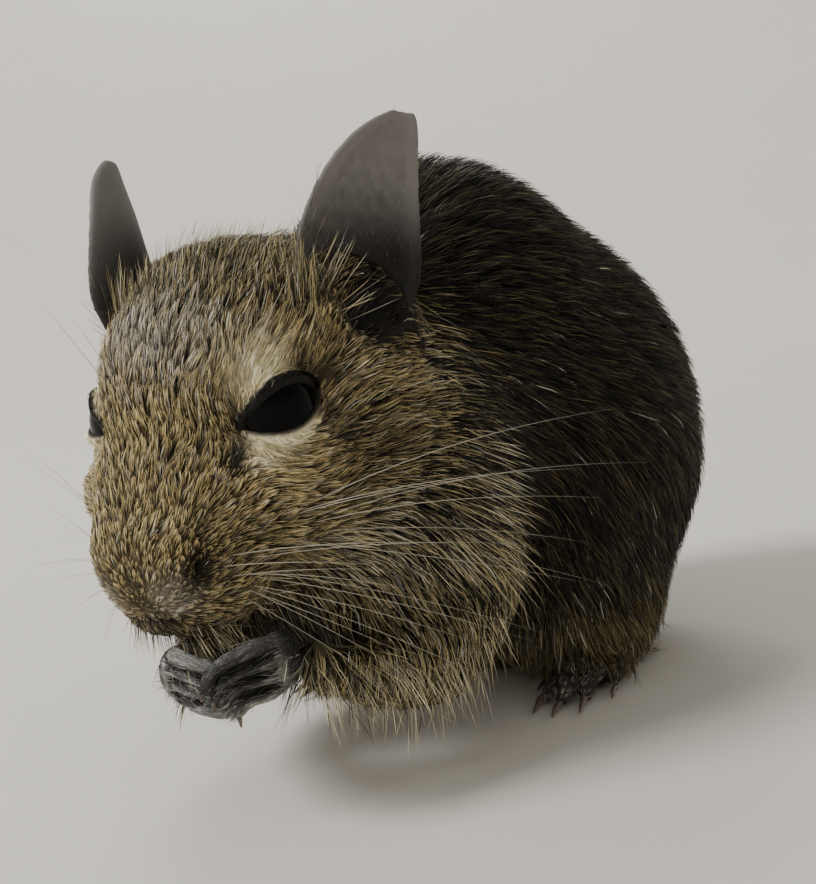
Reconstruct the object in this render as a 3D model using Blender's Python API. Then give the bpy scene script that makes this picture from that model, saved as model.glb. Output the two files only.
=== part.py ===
"""A life-size degu sitting hunched on its hind feet, its hands clasped under its mouth.

The animal faces -Y, its left is +X and the floor is Z = 0. The masses of flesh are fused into
one body, which is then parted with thin cuts into the pieces a person would name.
"""
import math

import bmesh
import bpy
from mathutils import Matrix, Vector

MM = 0.001
CUT = 0.3 * MM

# Driving sizes of the animal, in metres
BACK_HEIGHT = 76 * MM
TRUNK_LENGTH = 78 * MM
TRUNK_WIDTH = 63 * MM
TRUNK_MIDDLE = Vector((0, 3, 34)) * MM
HEAD_LENGTH = 46 * MM
HEAD_WIDTH = 33 * MM
HEAD_MIDDLE = Vector((-0.5, -52.8, 44.6)) * MM
HEAD_DOWN = math.radians(33)
HEAD_TURN = math.radians(3.4)
HEAD_TILT = math.radians(4)
EYE_DIAMETER = 9.8 * MM
EYE_PLACE = Vector((10.5, -1.6, 2.3)) * MM
EAR_HEIGHT = 25.5 * MM
EAR_WIDTH = 15.5 * MM
EAR_THICKNESS = 0.9 * MM
EAR_ROOT = Vector((12.4, 12.8, 2.5)) * MM
EAR_DRAWN_BACK = 0.8
# Each ear is held its own way: left is 1 and right is -1
EAR_LEAN = {1: math.radians(11), -1: math.radians(-1)}
EAR_SPLAY = {1: math.radians(8), -1: math.radians(14)}
EAR_FACING = {1: math.radians(58), -1: math.radians(70)}
TAIL_START = Vector((0, 27, 0)) * MM
TAIL_LENGTH = 124 * MM
TAIL_SWEEP = math.radians(105)
TAIL_THICKNESS = 8 * MM
FOOT_LENGTH = 33 * MM
FOOT_WIDTH = 9.5 * MM
FINGER_THICKNESS = 1.5 * MM
FINGER_SPACING = 1.75 * MM
TOE_THICKNESS = 2.4 * MM
CLAW_THICKNESS = 1.3 * MM
CLAW_LENGTH = 3.0 * MM
NAIL_THICKNESS = 0.9 * MM
NAIL_LENGTH = 1.1 * MM

# Triangles kept in each fused shape
BODY_TRIANGLES = 2400
HAND_TRIANGLES = 420
FOOT_TRIANGLES = 280
TAIL_TRIANGLES = 320
ARM_CUT_TRIANGLES = 180
CUTTER_FINENESS = 2

AGOUTI = ("AgoutiCoat", (0.105, 0.072, 0.040), 0.75)
EAR_SKIN = ("EarSkin", (0.050, 0.043, 0.040), 0.55)
EYE_BLACK = ("EyeBlack", (0.006, 0.005, 0.005), 0.06)
PAW_SKIN = ("PawSkin", (0.075, 0.066, 0.060), 0.60)
CLAW_HORN = ("ClawHorn", (0.110, 0.085, 0.065), 0.35)
TAIL_HAIR = ("TailHair", (0.018, 0.014, 0.012), 0.70)


def clear_scene():
    """Start from nothing."""
    for old in list(bpy.data.objects):
        bpy.data.objects.remove(old, do_unlink=True)


def material(finish):
    """Return the Principled material of one finish, made once."""
    name, colour, roughness = finish
    made = bpy.data.materials.get(name)
    if made is None:
        made = bpy.data.materials.new(name)
        made.use_nodes = True
        shader = made.node_tree.nodes["Principled BSDF"]
        shader.inputs["Base Color"].default_value = (*colour, 1)
        shader.inputs["Roughness"].default_value = roughness
        shader.inputs["Metallic"].default_value = 0.0
    return made


def new_object(name, shape):
    """Link a bmesh or a mesh into the scene as one object."""
    mesh = shape
    if isinstance(shape, bmesh.types.BMesh):
        mesh = bpy.data.meshes.new(name)
        bmesh.ops.recalc_face_normals(shape, faces=shape.faces)
        shape.to_mesh(mesh)
        shape.free()
    made = bpy.data.objects.new(name, mesh)
    bpy.context.scene.collection.objects.link(made)
    return made


def finish_node(name, mesh, finish):
    """Keep a mesh as a named sub-part with its own material."""
    node = new_object(name, mesh)
    node.data.name = name
    node.data.materials.clear()
    node.data.materials.append(material(finish))
    node.data.shade_smooth()
    return node


def settled(source):
    """Return the mesh an object's modifiers give, and remove the object."""
    graph = bpy.context.evaluated_depsgraph_get()
    mesh = bpy.data.meshes.new_from_object(source.evaluated_get(graph))
    bpy.data.objects.remove(source, do_unlink=True)
    return mesh


def head_frame():
    """The head's own axes: +X its left, +Y the back of the skull, +Z its crown."""
    turn = Matrix.Rotation(HEAD_TURN, 4, "Z")
    down = Matrix.Rotation(HEAD_DOWN, 4, "X")
    tilt = Matrix.Rotation(HEAD_TILT, 4, "Y")
    return Matrix.Translation(HEAD_MIDDLE) @ turn @ down @ tilt


def mass(middle, radii, frame=Matrix(), turn=(0, 0, 0), fineness=4):
    """An ellipsoid of flesh, radii in millimetres, turned by degrees about its own axes."""
    shape = bmesh.new()
    spin = Matrix.Identity(4)
    for angle, axis in zip(turn, "XYZ"):
        spin = spin @ Matrix.Rotation(math.radians(angle), 4, axis)
    size = Matrix.Diagonal((*(Vector(radii) * MM), 1))
    place = frame @ Matrix.Translation(Vector(middle) * MM) @ spin @ size
    bmesh.ops.create_icosphere(shape, subdivisions=fineness, radius=1, matrix=place)
    return shape


def tube(points, radii, sides=10):
    """A closed round tube through points, with one radius at each, all in millimetres."""
    shape = bmesh.new()
    path = [Vector(point) * MM for point in points]
    rings = []
    side_way = None
    for index, middle in enumerate(path):
        ahead = path[min(index + 1, len(path) - 1)] - path[max(index - 1, 0)]
        ahead.normalize()
        if side_way is None:
            side_way = ahead.orthogonal().normalized()
        side_way = (side_way - ahead * side_way.dot(ahead)).normalized()
        up_way = ahead.cross(side_way)
        ring = []
        for step in range(sides):
            angle = 2 * math.pi * step / sides
            way = side_way * math.cos(angle) + up_way * math.sin(angle)
            ring.append(shape.verts.new(middle + way * radii[index] * MM))
        rings.append(ring)
    for near, far in zip(rings, rings[1:]):
        for step in range(sides):
            after = (step + 1) % sides
            shape.faces.new((near[step], near[after], far[after], far[step]))
    shape.faces.new(rings[0])
    shape.faces.new(rings[-1])
    bmesh.ops.recalc_face_normals(shape, faces=shape.faces)
    return shape


def smooth_path(start, bend, end, steps):
    """Points along a curve of three control points."""
    start, bend, end = Vector(start), Vector(bend), Vector(end)
    route = []
    for index in range(steps + 1):
        part = index / steps
        route.append(start * (1 - part) ** 2 + bend * 2 * part * (1 - part) + end * part ** 2)
    return route


def fused(shapes, voxel, smooth_steps, triangles=0):
    """Fuse closed shapes into one skin, smooth its creases and thin its triangles."""
    joined = bmesh.new()
    for shape in shapes:
        mesh = shape
        if isinstance(shape, bmesh.types.BMesh):
            mesh = bpy.data.meshes.new("mass")
            shape.to_mesh(mesh)
            shape.free()
        joined.from_mesh(mesh)
    lump = new_object("fusing", joined)
    remesh = lump.modifiers.new("Remesh", "REMESH")
    remesh.mode = "VOXEL"
    remesh.voxel_size = voxel
    if smooth_steps:
        smooth = lump.modifiers.new("Smooth", "SMOOTH")
        smooth.factor = 0.5
        smooth.iterations = smooth_steps
    full = settled(lump)
    if not triangles:
        return full
    thinned = new_object("thinning", full)
    full.calc_loop_triangles()
    thin = thinned.modifiers.new("Decimate", "DECIMATE")
    thin.ratio = triangles / len(full.loop_triangles)
    thin.use_collapse_triangulate = True
    return settled(thinned)


def shaped(mesh, tools):
    """Cut a mesh with other meshes; each tool is (operation, mesh)."""
    work = new_object("cutting", mesh.copy())
    helpers = []
    for index, (operation, tool_mesh) in enumerate(tools):
        helper = new_object(f"cutter_{index}", tool_mesh)
        helper.hide_render = True
        helper.display_type = "WIRE"
        helpers.append(helper)
        cut = work.modifiers.new(f"Cut_{index}", "BOOLEAN")
        cut.operation = operation
        cut.solver = "EXACT"
        cut.object = helper
    result = settled(work)
    for helper in helpers:
        bpy.data.objects.remove(helper, do_unlink=True)
    return largest_body(result)


def largest_body(mesh):
    """Drop crumbs of a cut and weld its shortest edges."""
    shape = bmesh.new()
    shape.from_mesh(mesh)
    bmesh.ops.remove_doubles(shape, verts=shape.verts, dist=0.02 * MM)
    bmesh.ops.dissolve_degenerate(shape, edges=shape.edges, dist=0.01 * MM)
    bmesh.ops.triangulate(shape, faces=shape.faces)
    left = set(shape.verts)
    bodies = []
    while left:
        reached = {left.pop()}
        edge_of_search = list(reached)
        while edge_of_search:
            vertex = edge_of_search.pop()
            for edge in vertex.link_edges:
                other = edge.other_vert(vertex)
                if other in left:
                    left.remove(other)
                    reached.add(other)
                    edge_of_search.append(other)
        bodies.append(reached)
    bodies.sort(key=len, reverse=True)
    crumbs = [vertex for body in bodies[1:] for vertex in body]
    bmesh.ops.delete(shape, geom=crumbs, context="VERTS")
    shape.to_mesh(mesh)
    shape.free()
    return mesh


def grown(mesh, distance):
    """A copy of a mesh with its surface moved outwards."""
    swollen = new_object("growing", mesh.copy())
    push = swollen.modifiers.new("Displace", "DISPLACE")
    push.strength = distance
    push.mid_level = 0.0
    return settled(swollen)


def slab(place, way, depth=0.2, reach=0.3):
    """A big block whose near face passes through a place and looks against a direction."""
    shape = bmesh.new()
    turn = Vector(way).normalized().to_track_quat("Z", "Y").to_matrix().to_4x4()
    lift = Matrix.Translation((0, 0, depth / 2))
    size = Matrix.Diagonal((reach, reach, depth, 1))
    bmesh.ops.create_cube(shape, size=1, matrix=Matrix.Translation(place) @ turn @ lift @ size)
    mesh = bpy.data.meshes.new("slab")
    shape.to_mesh(mesh)
    shape.free()
    return mesh


def as_mesh(shape):
    """Turn a bmesh into plain mesh data."""
    mesh = bpy.data.meshes.new("shape")
    bmesh.ops.recalc_face_normals(shape, faces=shape.faces)
    shape.to_mesh(mesh)
    shape.free()
    return mesh


def ellipsoid_cutter(region, extra):
    """A closed ellipsoid for parting a piece, swollen by a distance in metres."""
    middle, radii, frame, turn = region
    swollen = [radius + extra / MM for radius in radii]
    return as_mesh(mass(middle, swollen, frame, turn, CUTTER_FINENESS))


def trunk_masses():
    """Rump, back, flanks, shoulders and throat of the hunched body."""
    half_wide = TRUNK_WIDTH / MM / 2
    half_long = TRUNK_LENGTH / MM / 2
    middle = TRUNK_MIDDLE / MM
    top = BACK_HEIGHT / MM
    masses = [
        mass((0, middle.y + 3.5, middle.z - 0.5), (half_wide, half_long - 5, middle.z + 1.2)),
        mass((0, middle.y - 8, top - 30), (half_wide - 5.5, 28, 30)),
        mass((0, middle.y - 32, 38), (23, 21, 26)),
        mass((0, middle.y - 37, 29), (24, 19, 18)),
        mass((1, middle.y - 42, 45), (20, 18, 21)),
    ]
    for side in (-1, 1):
        masses.append(mass((side * 16.5, 0, 14.5), (11.5, 19, 14.5), turn=(-12, 0, side * 6)))
    return masses


def head_masses():
    """Braincase, cheeks, muzzle, brows and chin in the head's own frame."""
    frame = head_frame()
    half_wide = HEAD_WIDTH / MM / 2
    half_long = HEAD_LENGTH / MM / 2
    masses = [
        mass((0, 5, 2), (half_wide - 1.5, half_long - 6, 14), frame),
        mass((0, 11, 4.2), (half_wide - 3, 13, 12.8), frame),
        mass((0, -7, -2), (10.8, 12, 9.8), frame, (14, 0, 0)),
        mass((0, -15, -5), (9.0, 8.2, 7.8), frame, (20, 0, 0)),
        mass((0, -11, -11.5), (6.8, 8.5, 4.8), frame, (8, 0, 0)),
    ]
    for side in (-1, 1):
        masses.append(mass((side * 10.4, 0, -5), (8, 12.5, 10), frame))
        masses.append(mass((side * 5.4, -14.0, -9.6), (4.8, 5.8, 5.2), frame))
        masses.append(mass((side * 2.8, -18.6, -11.0), (3.6, 3.4, 3.4), frame))
        masses.append(mass((side * 7.9, 0.2, 6.8), (4.9, 7.5, 4.5), frame, (14, 0, 0)))
    return masses


def wrist(side):
    """Where a wrist is, in millimetres, the right one a little in front of the left."""
    return Vector((-3.0, -60.8, 17.4)) if side < 0 else Vector((11.8, -57.4, 19.0))


def arm_tubes(side, extra=0.0):
    """Upper arm and forearm, elbow low beside the belly and wrist under the chin."""
    shoulder, elbow = Vector((side * 15, -26, 25)), Vector((side * 14.5, -38, 13.5))
    upper = [radius + extra for radius in (7.0, 7.2, 7.0, 6.6, 6.2)]
    fore = [radius + extra for radius in (6.2, 5.4, 4.4, 3.5, 2.9)]
    upper_way = smooth_path(shoulder, (side * 17, -32, 17), elbow, 4)
    fore_way = smooth_path(elbow, (side * 14, -49, 13), wrist(side), 4)
    shapes = [tube(upper_way, upper, 14), tube(fore_way, fore, 14)]
    shapes.append(mass(elbow, (upper[-1],) * 3, fineness=3))
    return shapes


def body_mesh():
    """Fuse trunk, arms and head, then flatten what sits on the floor."""
    trunk = fused(trunk_masses(), 1.6 * MM, 24)
    head = fused(head_masses(), 0.9 * MM, 7)
    arms = fused(arm_tubes(-1) + arm_tubes(1), 1.0 * MM, 4)
    whole = fused([trunk, head, arms], 1.1 * MM, 5, BODY_TRIANGLES)
    return shaped(whole, [("DIFFERENCE", slab((0, 0, 0), (0, 0, -1)))])


def eye_mesh(side, extra=0.0):
    """The whole eyeball, sunk in its socket, or a socket wider by an extra."""
    place = Vector((side * EYE_PLACE.x, EYE_PLACE.y, EYE_PLACE.z))
    shape = bmesh.new()
    radius = EYE_DIAMETER / 2 + extra
    where = head_frame() @ Matrix.Translation(place)
    bmesh.ops.create_icosphere(shape, subdivisions=3, radius=radius, matrix=where)
    return as_mesh(shape)


def ear_mesh(side):
    """A thin rounded bowl on a narrow root, open outwards, its tip drawn to the rear edge."""
    rows, columns = 11, 6
    full_width = 0.35
    shape = bmesh.new()
    grid = []
    for row in range(rows + 1):
        height = row / rows
        top = math.sqrt(max(0.0, 1 - (max(0.0, height - 0.25) / 0.76) ** 1.5))
        grown_wide = min(1.0, height / full_width)
        root = 0.62 + 0.38 * math.sin(grown_wide * math.pi / 2)
        half = max(EAR_WIDTH / 2 * top * root, 0.09 * EAR_WIDTH)
        cup = math.radians(165 - 105 * min(1.0, height / 0.7))
        rearwards = EAR_DRAWN_BACK * (EAR_WIDTH / 2 - half) * grown_wide ** 2
        curl_back = 0.06 * EAR_HEIGHT * height ** 2
        line = []
        for column in range(columns + 1):
            angle = (2 * column / columns - 1) * cup / 2
            bend = half / math.sin(min(cup / 2, math.pi / 2))
            out = bend * math.sin(angle) + rearwards
            deep = bend * (1 - math.cos(angle)) + curl_back
            line.append(shape.verts.new((side * out, -deep, height * EAR_HEIGHT)))
        grid.append(line)
    for low, high in zip(grid, grid[1:]):
        for column in range(columns):
            shape.faces.new((low[column], low[column + 1], high[column + 1], high[column]))
    shell = new_object("shell", shape)
    wall = shell.modifiers.new("Solidify", "SOLIDIFY")
    wall.thickness = EAR_THICKNESS
    wall.offset = 0.0
    wall.use_even_offset = True
    mesh = settled(shell)
    root = head_frame() @ Vector((side * EAR_ROOT.x, EAR_ROOT.y, EAR_ROOT.z))
    facing = Matrix.Rotation(side * EAR_FACING[side], 4, "Z")
    lean = Matrix.Rotation(-EAR_LEAN[side], 4, "X")
    splay = Matrix.Rotation(side * EAR_SPLAY[side], 4, "Y")
    mesh.transform(Matrix.Translation(root) @ splay @ lean @ facing)
    return mesh


def finger_route(start, end, rise):
    """A finger's points from knuckle to tip, bowed out by a rise in millimetres."""
    start, end = Vector(start), Vector(end)
    bend = (start + end) / 2 + Vector(rise) * 2
    return smooth_path(start, bend, end, 5)


def hand_fingers(side):
    """Routes of the four fingers, from the thumb's side down."""
    routes = []
    for index in range(4):
        lower = FINGER_SPACING / MM * index
        if side < 0:
            reach = (6.2, 6.8, 6.2, 5.0)[index]
            start = (-0.2, -64.4 + 0.4 * index, 20.8 - lower)
            end = (-0.2 + reach, -64.8 + 0.5 * index, 19.6 - lower)
            routes.append(finger_route(start, end, (0, -1.2, 0.3)))
        else:
            start = (11.0 - 0.2 * index, -63.0 + 0.4 * index, 21.6 - lower)
            end = (6.6 + 0.7 * index, -67.2 + 0.7 * index, 18.6 - 0.62 * lower)
            routes.append(finger_route(start, end, (-0.3, -1.2, 0.5)))
    return routes


def toe_routes(side):
    """Routes of the five hind toes over the floor, the inner one small and set back."""
    routes = []
    lift = TOE_THICKNESS / MM / 2
    reach = (5.5, 9.5, 10.5, 9.5, 6.5)
    set_back = (5.5, 0.6, 0.0, 0.8, 3.4)
    for index in range(5):
        across = side * (-4.0 + 2.05 * index)
        spread = math.radians(side * (-9 + 4.5 * index))
        start = foot_frame(side) @ Vector((across, set_back[index], lift + 0.9))
        ahead = Vector((math.sin(spread), -math.cos(spread), 0)) * reach[index]
        end = foot_frame(side) @ (Vector((across, set_back[index], lift - 0.1)) + ahead)
        routes.append(finger_route(start, end, (0, 0, 0.9)))
    return routes


def foot_frame(side):
    """Where the ball of a hind foot stands, in millimetres, toes along its own -Y."""
    place = Matrix.Translation((side * 18.5, -8, 0))
    return place @ Matrix.Rotation(math.radians(side * 9), 4, "Z")


def routed(routes, thickness):
    """Round fingers or toes along routes, a little thinner at the tip."""
    shapes = []
    half = thickness / MM / 2
    for route in routes:
        last = len(route) - 1
        radii = [half * (1.08 - 0.22 * index / last) for index in range(last + 1)]
        shapes.append(tube(route, radii, 12))
        shapes.append(mass(route[-1], (radii[-1],) * 3))
        shapes.append(mass(route[0], (radii[0],) * 3))
    return shapes


def palm_region(side):
    """The ellipsoid of a palm: middle, radii, frame and turn."""
    middle = (-1.6, -62.2, 17.9) if side < 0 else (10.8, -60.4, 19.3)
    return middle, (2.3, 2.8, 3.4), Matrix(), (10, side * 14, 0)


def hand_mesh(side):
    """Palm and four fingers of one hand."""
    shapes = [mass(*palm_region(side))]
    shapes += routed(hand_fingers(side), FINGER_THICKNESS)
    return fused(shapes, 0.3 * MM, 1, HAND_TRIANGLES)


def foot_core(side, extra=0.0):
    """Ball, instep and heel of a hind foot, swollen by millimetres."""
    half_wide = FOOT_WIDTH / MM / 2
    frame = foot_frame(side)
    heel_length = FOOT_LENGTH / MM - 11
    route = [frame @ Vector((0, heel_length * part, 2.9)) for part in (0, 0.3, 0.65, 1)]
    widths = [half_wide * part + extra for part in (0.86, 0.72, 0.6, 0.62)]
    metre_frame = Matrix.Translation(frame.translation * MM) @ frame.to_3x3().to_4x4()
    ball = (half_wide + extra, 4.2 + extra, 2.9 + extra)
    heel = (half_wide * 0.66 + extra, 3.4 + extra, 3.3 + extra)
    shapes = [tube(route, widths, 16)]
    shapes.append(mass((0, 0, 2.6), ball, metre_frame))
    shapes.append(mass((0, heel_length, 3.0), heel, metre_frame))
    return shapes


def foot_mesh(side):
    """A long narrow hind foot, its sole flat on the floor."""
    shapes = foot_core(side) + routed(toe_routes(side), TOE_THICKNESS)
    whole = fused(shapes, 0.5 * MM, 3, FOOT_TRIANGLES)
    return shaped(whole, [("DIFFERENCE", slab((0, 0, 0), (0, 0, -1)))])


def foot_cutter(side):
    """The room a hind foot takes in the flesh above it."""
    room = 0.5
    toes = routed(toe_routes(side), TOE_THICKNESS + 2 * room * MM)
    return fused(foot_core(side, room) + toes, 0.7 * MM, 0, 200)


def claw_mesh(route, finger, thickness, length, droop, level=False):
    """A small curved horn just past the end of a finger or toe, set off level on the floor."""
    tip, before = Vector(route[-1]), Vector(route[-2])
    ahead = tip - before
    if level:
        ahead.z = 0
    ahead.normalize()
    start = tip + ahead * (finger * 0.43 + CUT) / MM
    middle = start + ahead * length * 0.55 / MM
    end = start + (ahead + Vector((0, 0, -droop))).normalized() * length / MM
    radii = [thickness / MM / 2 * (1 - 0.8 * index / 3) for index in range(4)]
    shape = tube(smooth_path(start, middle, end, 3), radii, 5)
    bmesh.ops.triangulate(shape, faces=shape.faces)
    return as_mesh(shape)


def tail_radius(part):
    """Half the tail's thickness in millimetres: slim in the middle, then the brush."""
    slim = TAIL_THICKNESS / MM / 2 * (1 - 0.6 * min(1, part / 0.62))
    return slim + 1.9 * math.sin(max(0, (part - 0.62) / 0.38) * math.pi * 0.86)


def tail_route(steps=24):
    """Points of the tail, from the rump back along the floor and round to its right."""
    radius = TAIL_LENGTH / MM / TAIL_SWEEP
    points = []
    for index in range(steps + 1):
        part = index / steps
        angle = TAIL_SWEEP * part
        lift = tail_radius(part) - 0.35 + 4.0 * (1 - part) ** 8
        bend = Vector((radius * (math.cos(angle) - 1), radius * math.sin(angle), lift))
        points.append(TAIL_START / MM + bend)
    return points


def tail_nodes(body):
    """The tail in three lengths: thick base, slim middle and the brush at its tip."""
    route = tail_route()
    last_step = len(route) - 1
    radii = [tail_radius(index / last_step) for index in range(len(route))]
    whole = fused([tube(route, radii, 12)], 0.6 * MM, 1, TAIL_TRIANGLES)
    floor = slab((0, 0, 0), (0, 0, -1))
    spans = (("tail_base", 0, 9), ("tail_middle", 9, 16), ("tail_brush", 16, last_step))
    for name, first, last in spans:
        tools = [("DIFFERENCE", floor.copy())]
        if first:
            ahead = (route[first + 1] - route[first - 1]).normalized()
            tools.append(("DIFFERENCE", slab(route[first] * MM + ahead * CUT / 2, -ahead)))
        else:
            tools.append(("DIFFERENCE", grown(body, CUT)))
        if last < last_step:
            ahead = (route[last + 1] - route[last - 1]).normalized()
            tools.append(("DIFFERENCE", slab(route[last] * MM - ahead * CUT / 2, ahead)))
        finish = TAIL_HAIR if name == "tail_brush" else AGOUTI
        finish_node(name, shaped(whole, tools), finish)


def region_of(piece, side=1):
    """The ellipsoid that parts a piece from the body: middle, radii, frame and turn."""
    if piece == "head":
        return (0, -5.5, 1.5), (32, 27, 21.5), head_frame(), (0, 0, 0)
    if piece == "neck":
        return (0, -3, 2), (42, 33, 27), head_frame(), (0, 0, 0)
    return (side * 29, 8, 16), (14, 24, 19), Matrix(), (0, 0, 0)


def less(tool_mesh):
    """Take a shape away."""
    return "DIFFERENCE", tool_mesh


def within(tool_mesh):
    """Keep what lies in a shape."""
    return "INTERSECT", tool_mesh


def flesh_nodes(body):
    """Part the body into head, neck, arms, thighs and trunk."""
    sides = ((1, "left"), (-1, "right"))
    inner, outer = -CUT / 2, CUT / 2
    arms = {side: fused(arm_tubes(side, 1.2), 1.2 * MM, 2, ARM_CUT_TRIANGLES) for side, _ in sides}
    arm_cuts = [less(grown(arms[side], outer)) for side, _ in sides]
    foot_cuts = [less(foot_cutter(side)) for side, _ in sides]

    def region(piece, extra, side=1):
        return ellipsoid_cutter(region_of(piece, side), extra)

    sockets = [less(eye_mesh(side, CUT)) for side, _ in sides]
    tools = [within(region("head", inner))] + sockets + copied(arm_cuts)
    finish_node("head", shaped(body, tools), AGOUTI)
    tools = [within(region("neck", inner)), less(region("head", outer))]
    finish_node("neck", shaped(body, tools + copied(arm_cuts)), AGOUTI)
    tools = [less(region("neck", outer))] + copied(arm_cuts) + copied(foot_cuts)
    tools += [less(region("thigh", outer, side)) for side, _ in sides]
    finish_node("trunk", shaped(body, tools), AGOUTI)
    for side, word in sides:
        tools = [within(region("thigh", inner, side))] + copied(foot_cuts)
        finish_node(f"thigh_{word}", shaped(body, tools), AGOUTI)
        palm = less(ellipsoid_cutter(palm_region(side), CUT * 1.5))
        arm = shaped(body, [within(grown(arms[side], inner)), palm])
        finish_node(f"arm_{word}", arm, AGOUTI)


def copied(tools):
    """Fresh copies of cutting tools, as each cut uses its tools up."""
    return [(operation, mesh.copy()) for operation, mesh in tools]


def claw_nodes(side, word):
    """A nail for each finger and a claw for each toe."""
    for index, route in enumerate(hand_fingers(side)):
        nail = claw_mesh(route, FINGER_THICKNESS, NAIL_THICKNESS, NAIL_LENGTH, 0.7)
        finish_node(f"nail_{word}_{index + 1}", nail, CLAW_HORN)
    for index, route in enumerate(toe_routes(side)):
        claw = claw_mesh(route, TOE_THICKNESS, CLAW_THICKNESS, CLAW_LENGTH, 0.24, level=True)
        finish_node(f"claw_{word}_{index + 1}", claw, CLAW_HORN)


def stand_on_origin():
    """Move the whole animal so the middle of its footprint is the origin."""
    nodes = [node for node in bpy.data.objects if node.type == "MESH"]
    corners = [vertex.co for node in nodes for vertex in node.data.vertices]
    lows = [min(corner[axis] for corner in corners) for axis in range(3)]
    highs = [max(corner[axis] for corner in corners) for axis in range(3)]
    middle = Vector(((lows[0] + highs[0]) / 2, (lows[1] + highs[1]) / 2, lows[2]))
    for node in nodes:
        node.data.transform(Matrix.Translation(-middle))
    return -middle


def build():
    """Make every sub-part of the animal."""
    clear_scene()
    body = body_mesh()
    flesh_nodes(body)
    tail_nodes(body)
    for side, word in ((1, "left"), (-1, "right")):
        finish_node(f"eye_{word}", eye_mesh(side), EYE_BLACK)
        finish_node(f"ear_{word}", shaped(ear_mesh(side), [less(grown(body, CUT))]), EAR_SKIN)
        finish_node(f"hand_{word}", shaped(hand_mesh(side), [less(grown(body, CUT))]), PAW_SKIN)
        finish_node(f"foot_{word}", foot_mesh(side), PAW_SKIN)
        claw_nodes(side, word)
    return stand_on_origin()


SHIFT = build()
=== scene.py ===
"""Looks of a life-size degu model: skin, eyes, claws, whiskers, coat and stage.

The file is laid out as an add-on and is run as a script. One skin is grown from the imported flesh
nodes and lies inside them by the coat's depth. The coat is mesh hair rooted on that skin.
Lengths in names ending in _MM are millimetres, and all other lengths are metres.
"""

import math

import bpy
import numpy as np
from mathutils import Matrix, Vector
from mathutils.bvhtree import BVHTree
from mathutils.kdtree import KDTree


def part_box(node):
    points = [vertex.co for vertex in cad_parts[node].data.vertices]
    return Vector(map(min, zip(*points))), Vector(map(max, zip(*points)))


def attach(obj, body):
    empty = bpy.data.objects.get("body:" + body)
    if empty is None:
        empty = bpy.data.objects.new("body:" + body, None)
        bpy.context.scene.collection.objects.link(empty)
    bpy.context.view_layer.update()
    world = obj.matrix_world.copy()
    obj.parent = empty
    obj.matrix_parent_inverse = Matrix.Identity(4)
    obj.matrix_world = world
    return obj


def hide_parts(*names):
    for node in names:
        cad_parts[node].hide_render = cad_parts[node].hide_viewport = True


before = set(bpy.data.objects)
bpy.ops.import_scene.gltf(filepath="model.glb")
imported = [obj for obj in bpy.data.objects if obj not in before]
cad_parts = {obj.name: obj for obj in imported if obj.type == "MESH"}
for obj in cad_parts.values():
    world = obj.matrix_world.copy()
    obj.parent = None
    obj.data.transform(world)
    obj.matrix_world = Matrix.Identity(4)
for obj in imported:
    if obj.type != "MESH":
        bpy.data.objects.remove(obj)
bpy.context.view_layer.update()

bl_info = {
    "name": "Degu Model",
    "version": (1, 0, 0),
    "blender": (4, 5, 0),
    "location": "3D View > Sidebar > Degu",
    "description": "Skin, eyes, claws, whiskers and coat of a life-size degu",
    "category": "Add Mesh",
}

MM = 0.001
BODY = "root"
SIDES = (("left", 1), ("right", -1))

# The head's own frame: x to the animal's left, y towards the nape, z to the crown, in mm
HEAD_TURN = math.radians(3.4)
HEAD_DOWN = math.radians(33)
HEAD_TILT = math.radians(4)
HEAD_MIDDLE_MM = (-0.5, -52.8, 44.6)
EYE_PLACE_MM = (10.5, -1.6, 2.3)
EYE_RADIUS_MM = 4.9
# The right eye, a slit in the photo, is sunk a little deeper and held more closed than the left
EYE_SINK_MM = {1: 0.0, -1: 0.9}
LID_SHARE = {1: 1.0, -1: 0.72}

# The eye's opening, measured on the eyeball from the way it looks out, in degrees
EYE_OUT = (0.805, -0.264, 0.531)
CANTHUS_LINE = (0.422, 0.884, -0.201)
EYE_HALF_LENGTH = 72.0
UPPER_LID_HEIGHT = 21.5
LOWER_LID_DROP = 34.5
LOWER_LID_FORWARD = 5.0
LOWER_LID_SHORTER = 4.0

TRUNK_NODES = ("head", "neck", "trunk", "arm_left", "arm_right", "thigh_left", "thigh_right")
TAIL_NODES = ("tail_base", "tail_middle", "tail_brush")
FINE_NODES = ("hand_left", "hand_right", "foot_left", "foot_right", "ear_left", "ear_right")
# What each fine piece grows from, and how far its root is drawn down into it, in mm
ROOTS = {
    "hand": ("arm", 1.4),
    "foot": ("thigh", 1.8),
    "ear": ("head", 2.4),
}

BACK_HAIR_MM = 7.5
# What the coat is like on each part: depth under the outline, hair length, hair width (mm), hairs per mm2
COAT_BY_PART = {
    "head": (1.7, 3.4, 0.095, 24.0),
    "neck": (3.0, 7.5, 0.14, 10.5),
    "trunk": (3.4, BACK_HAIR_MM, 0.14, 9.5),
    "arm": (1.5, 6.0, 0.13, 11.0),
    "thigh": (2.8, 7.0, 0.14, 9.5),
    "hand": (0.10, 2.6, 0.06, 34.0),
    "foot": (0.12, 1.9, 0.08, 12.0),
    "ear": (0.04, 0.9, 0.05, 2.0),
    "tail_base": (0.9, 4.0, 0.16, 12.0),
    "tail_middle": (0.8, 3.6, 0.16, 12.0),
    "tail_brush": (2.1, 9.0, 0.17, 26.0),
}


def unit(vectors):
    """The same directions with length one."""
    size = np.linalg.norm(vectors, axis=-1, keepdims=True)
    return vectors / np.maximum(size, 1e-12)


def smoothstep(low, high, value):
    """0 below low, 1 above high and a soft rise between them."""
    part = np.clip((value - low) / (high - low), 0.0, 1.0)
    return part * part * (3.0 - 2.0 * part)


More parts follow.
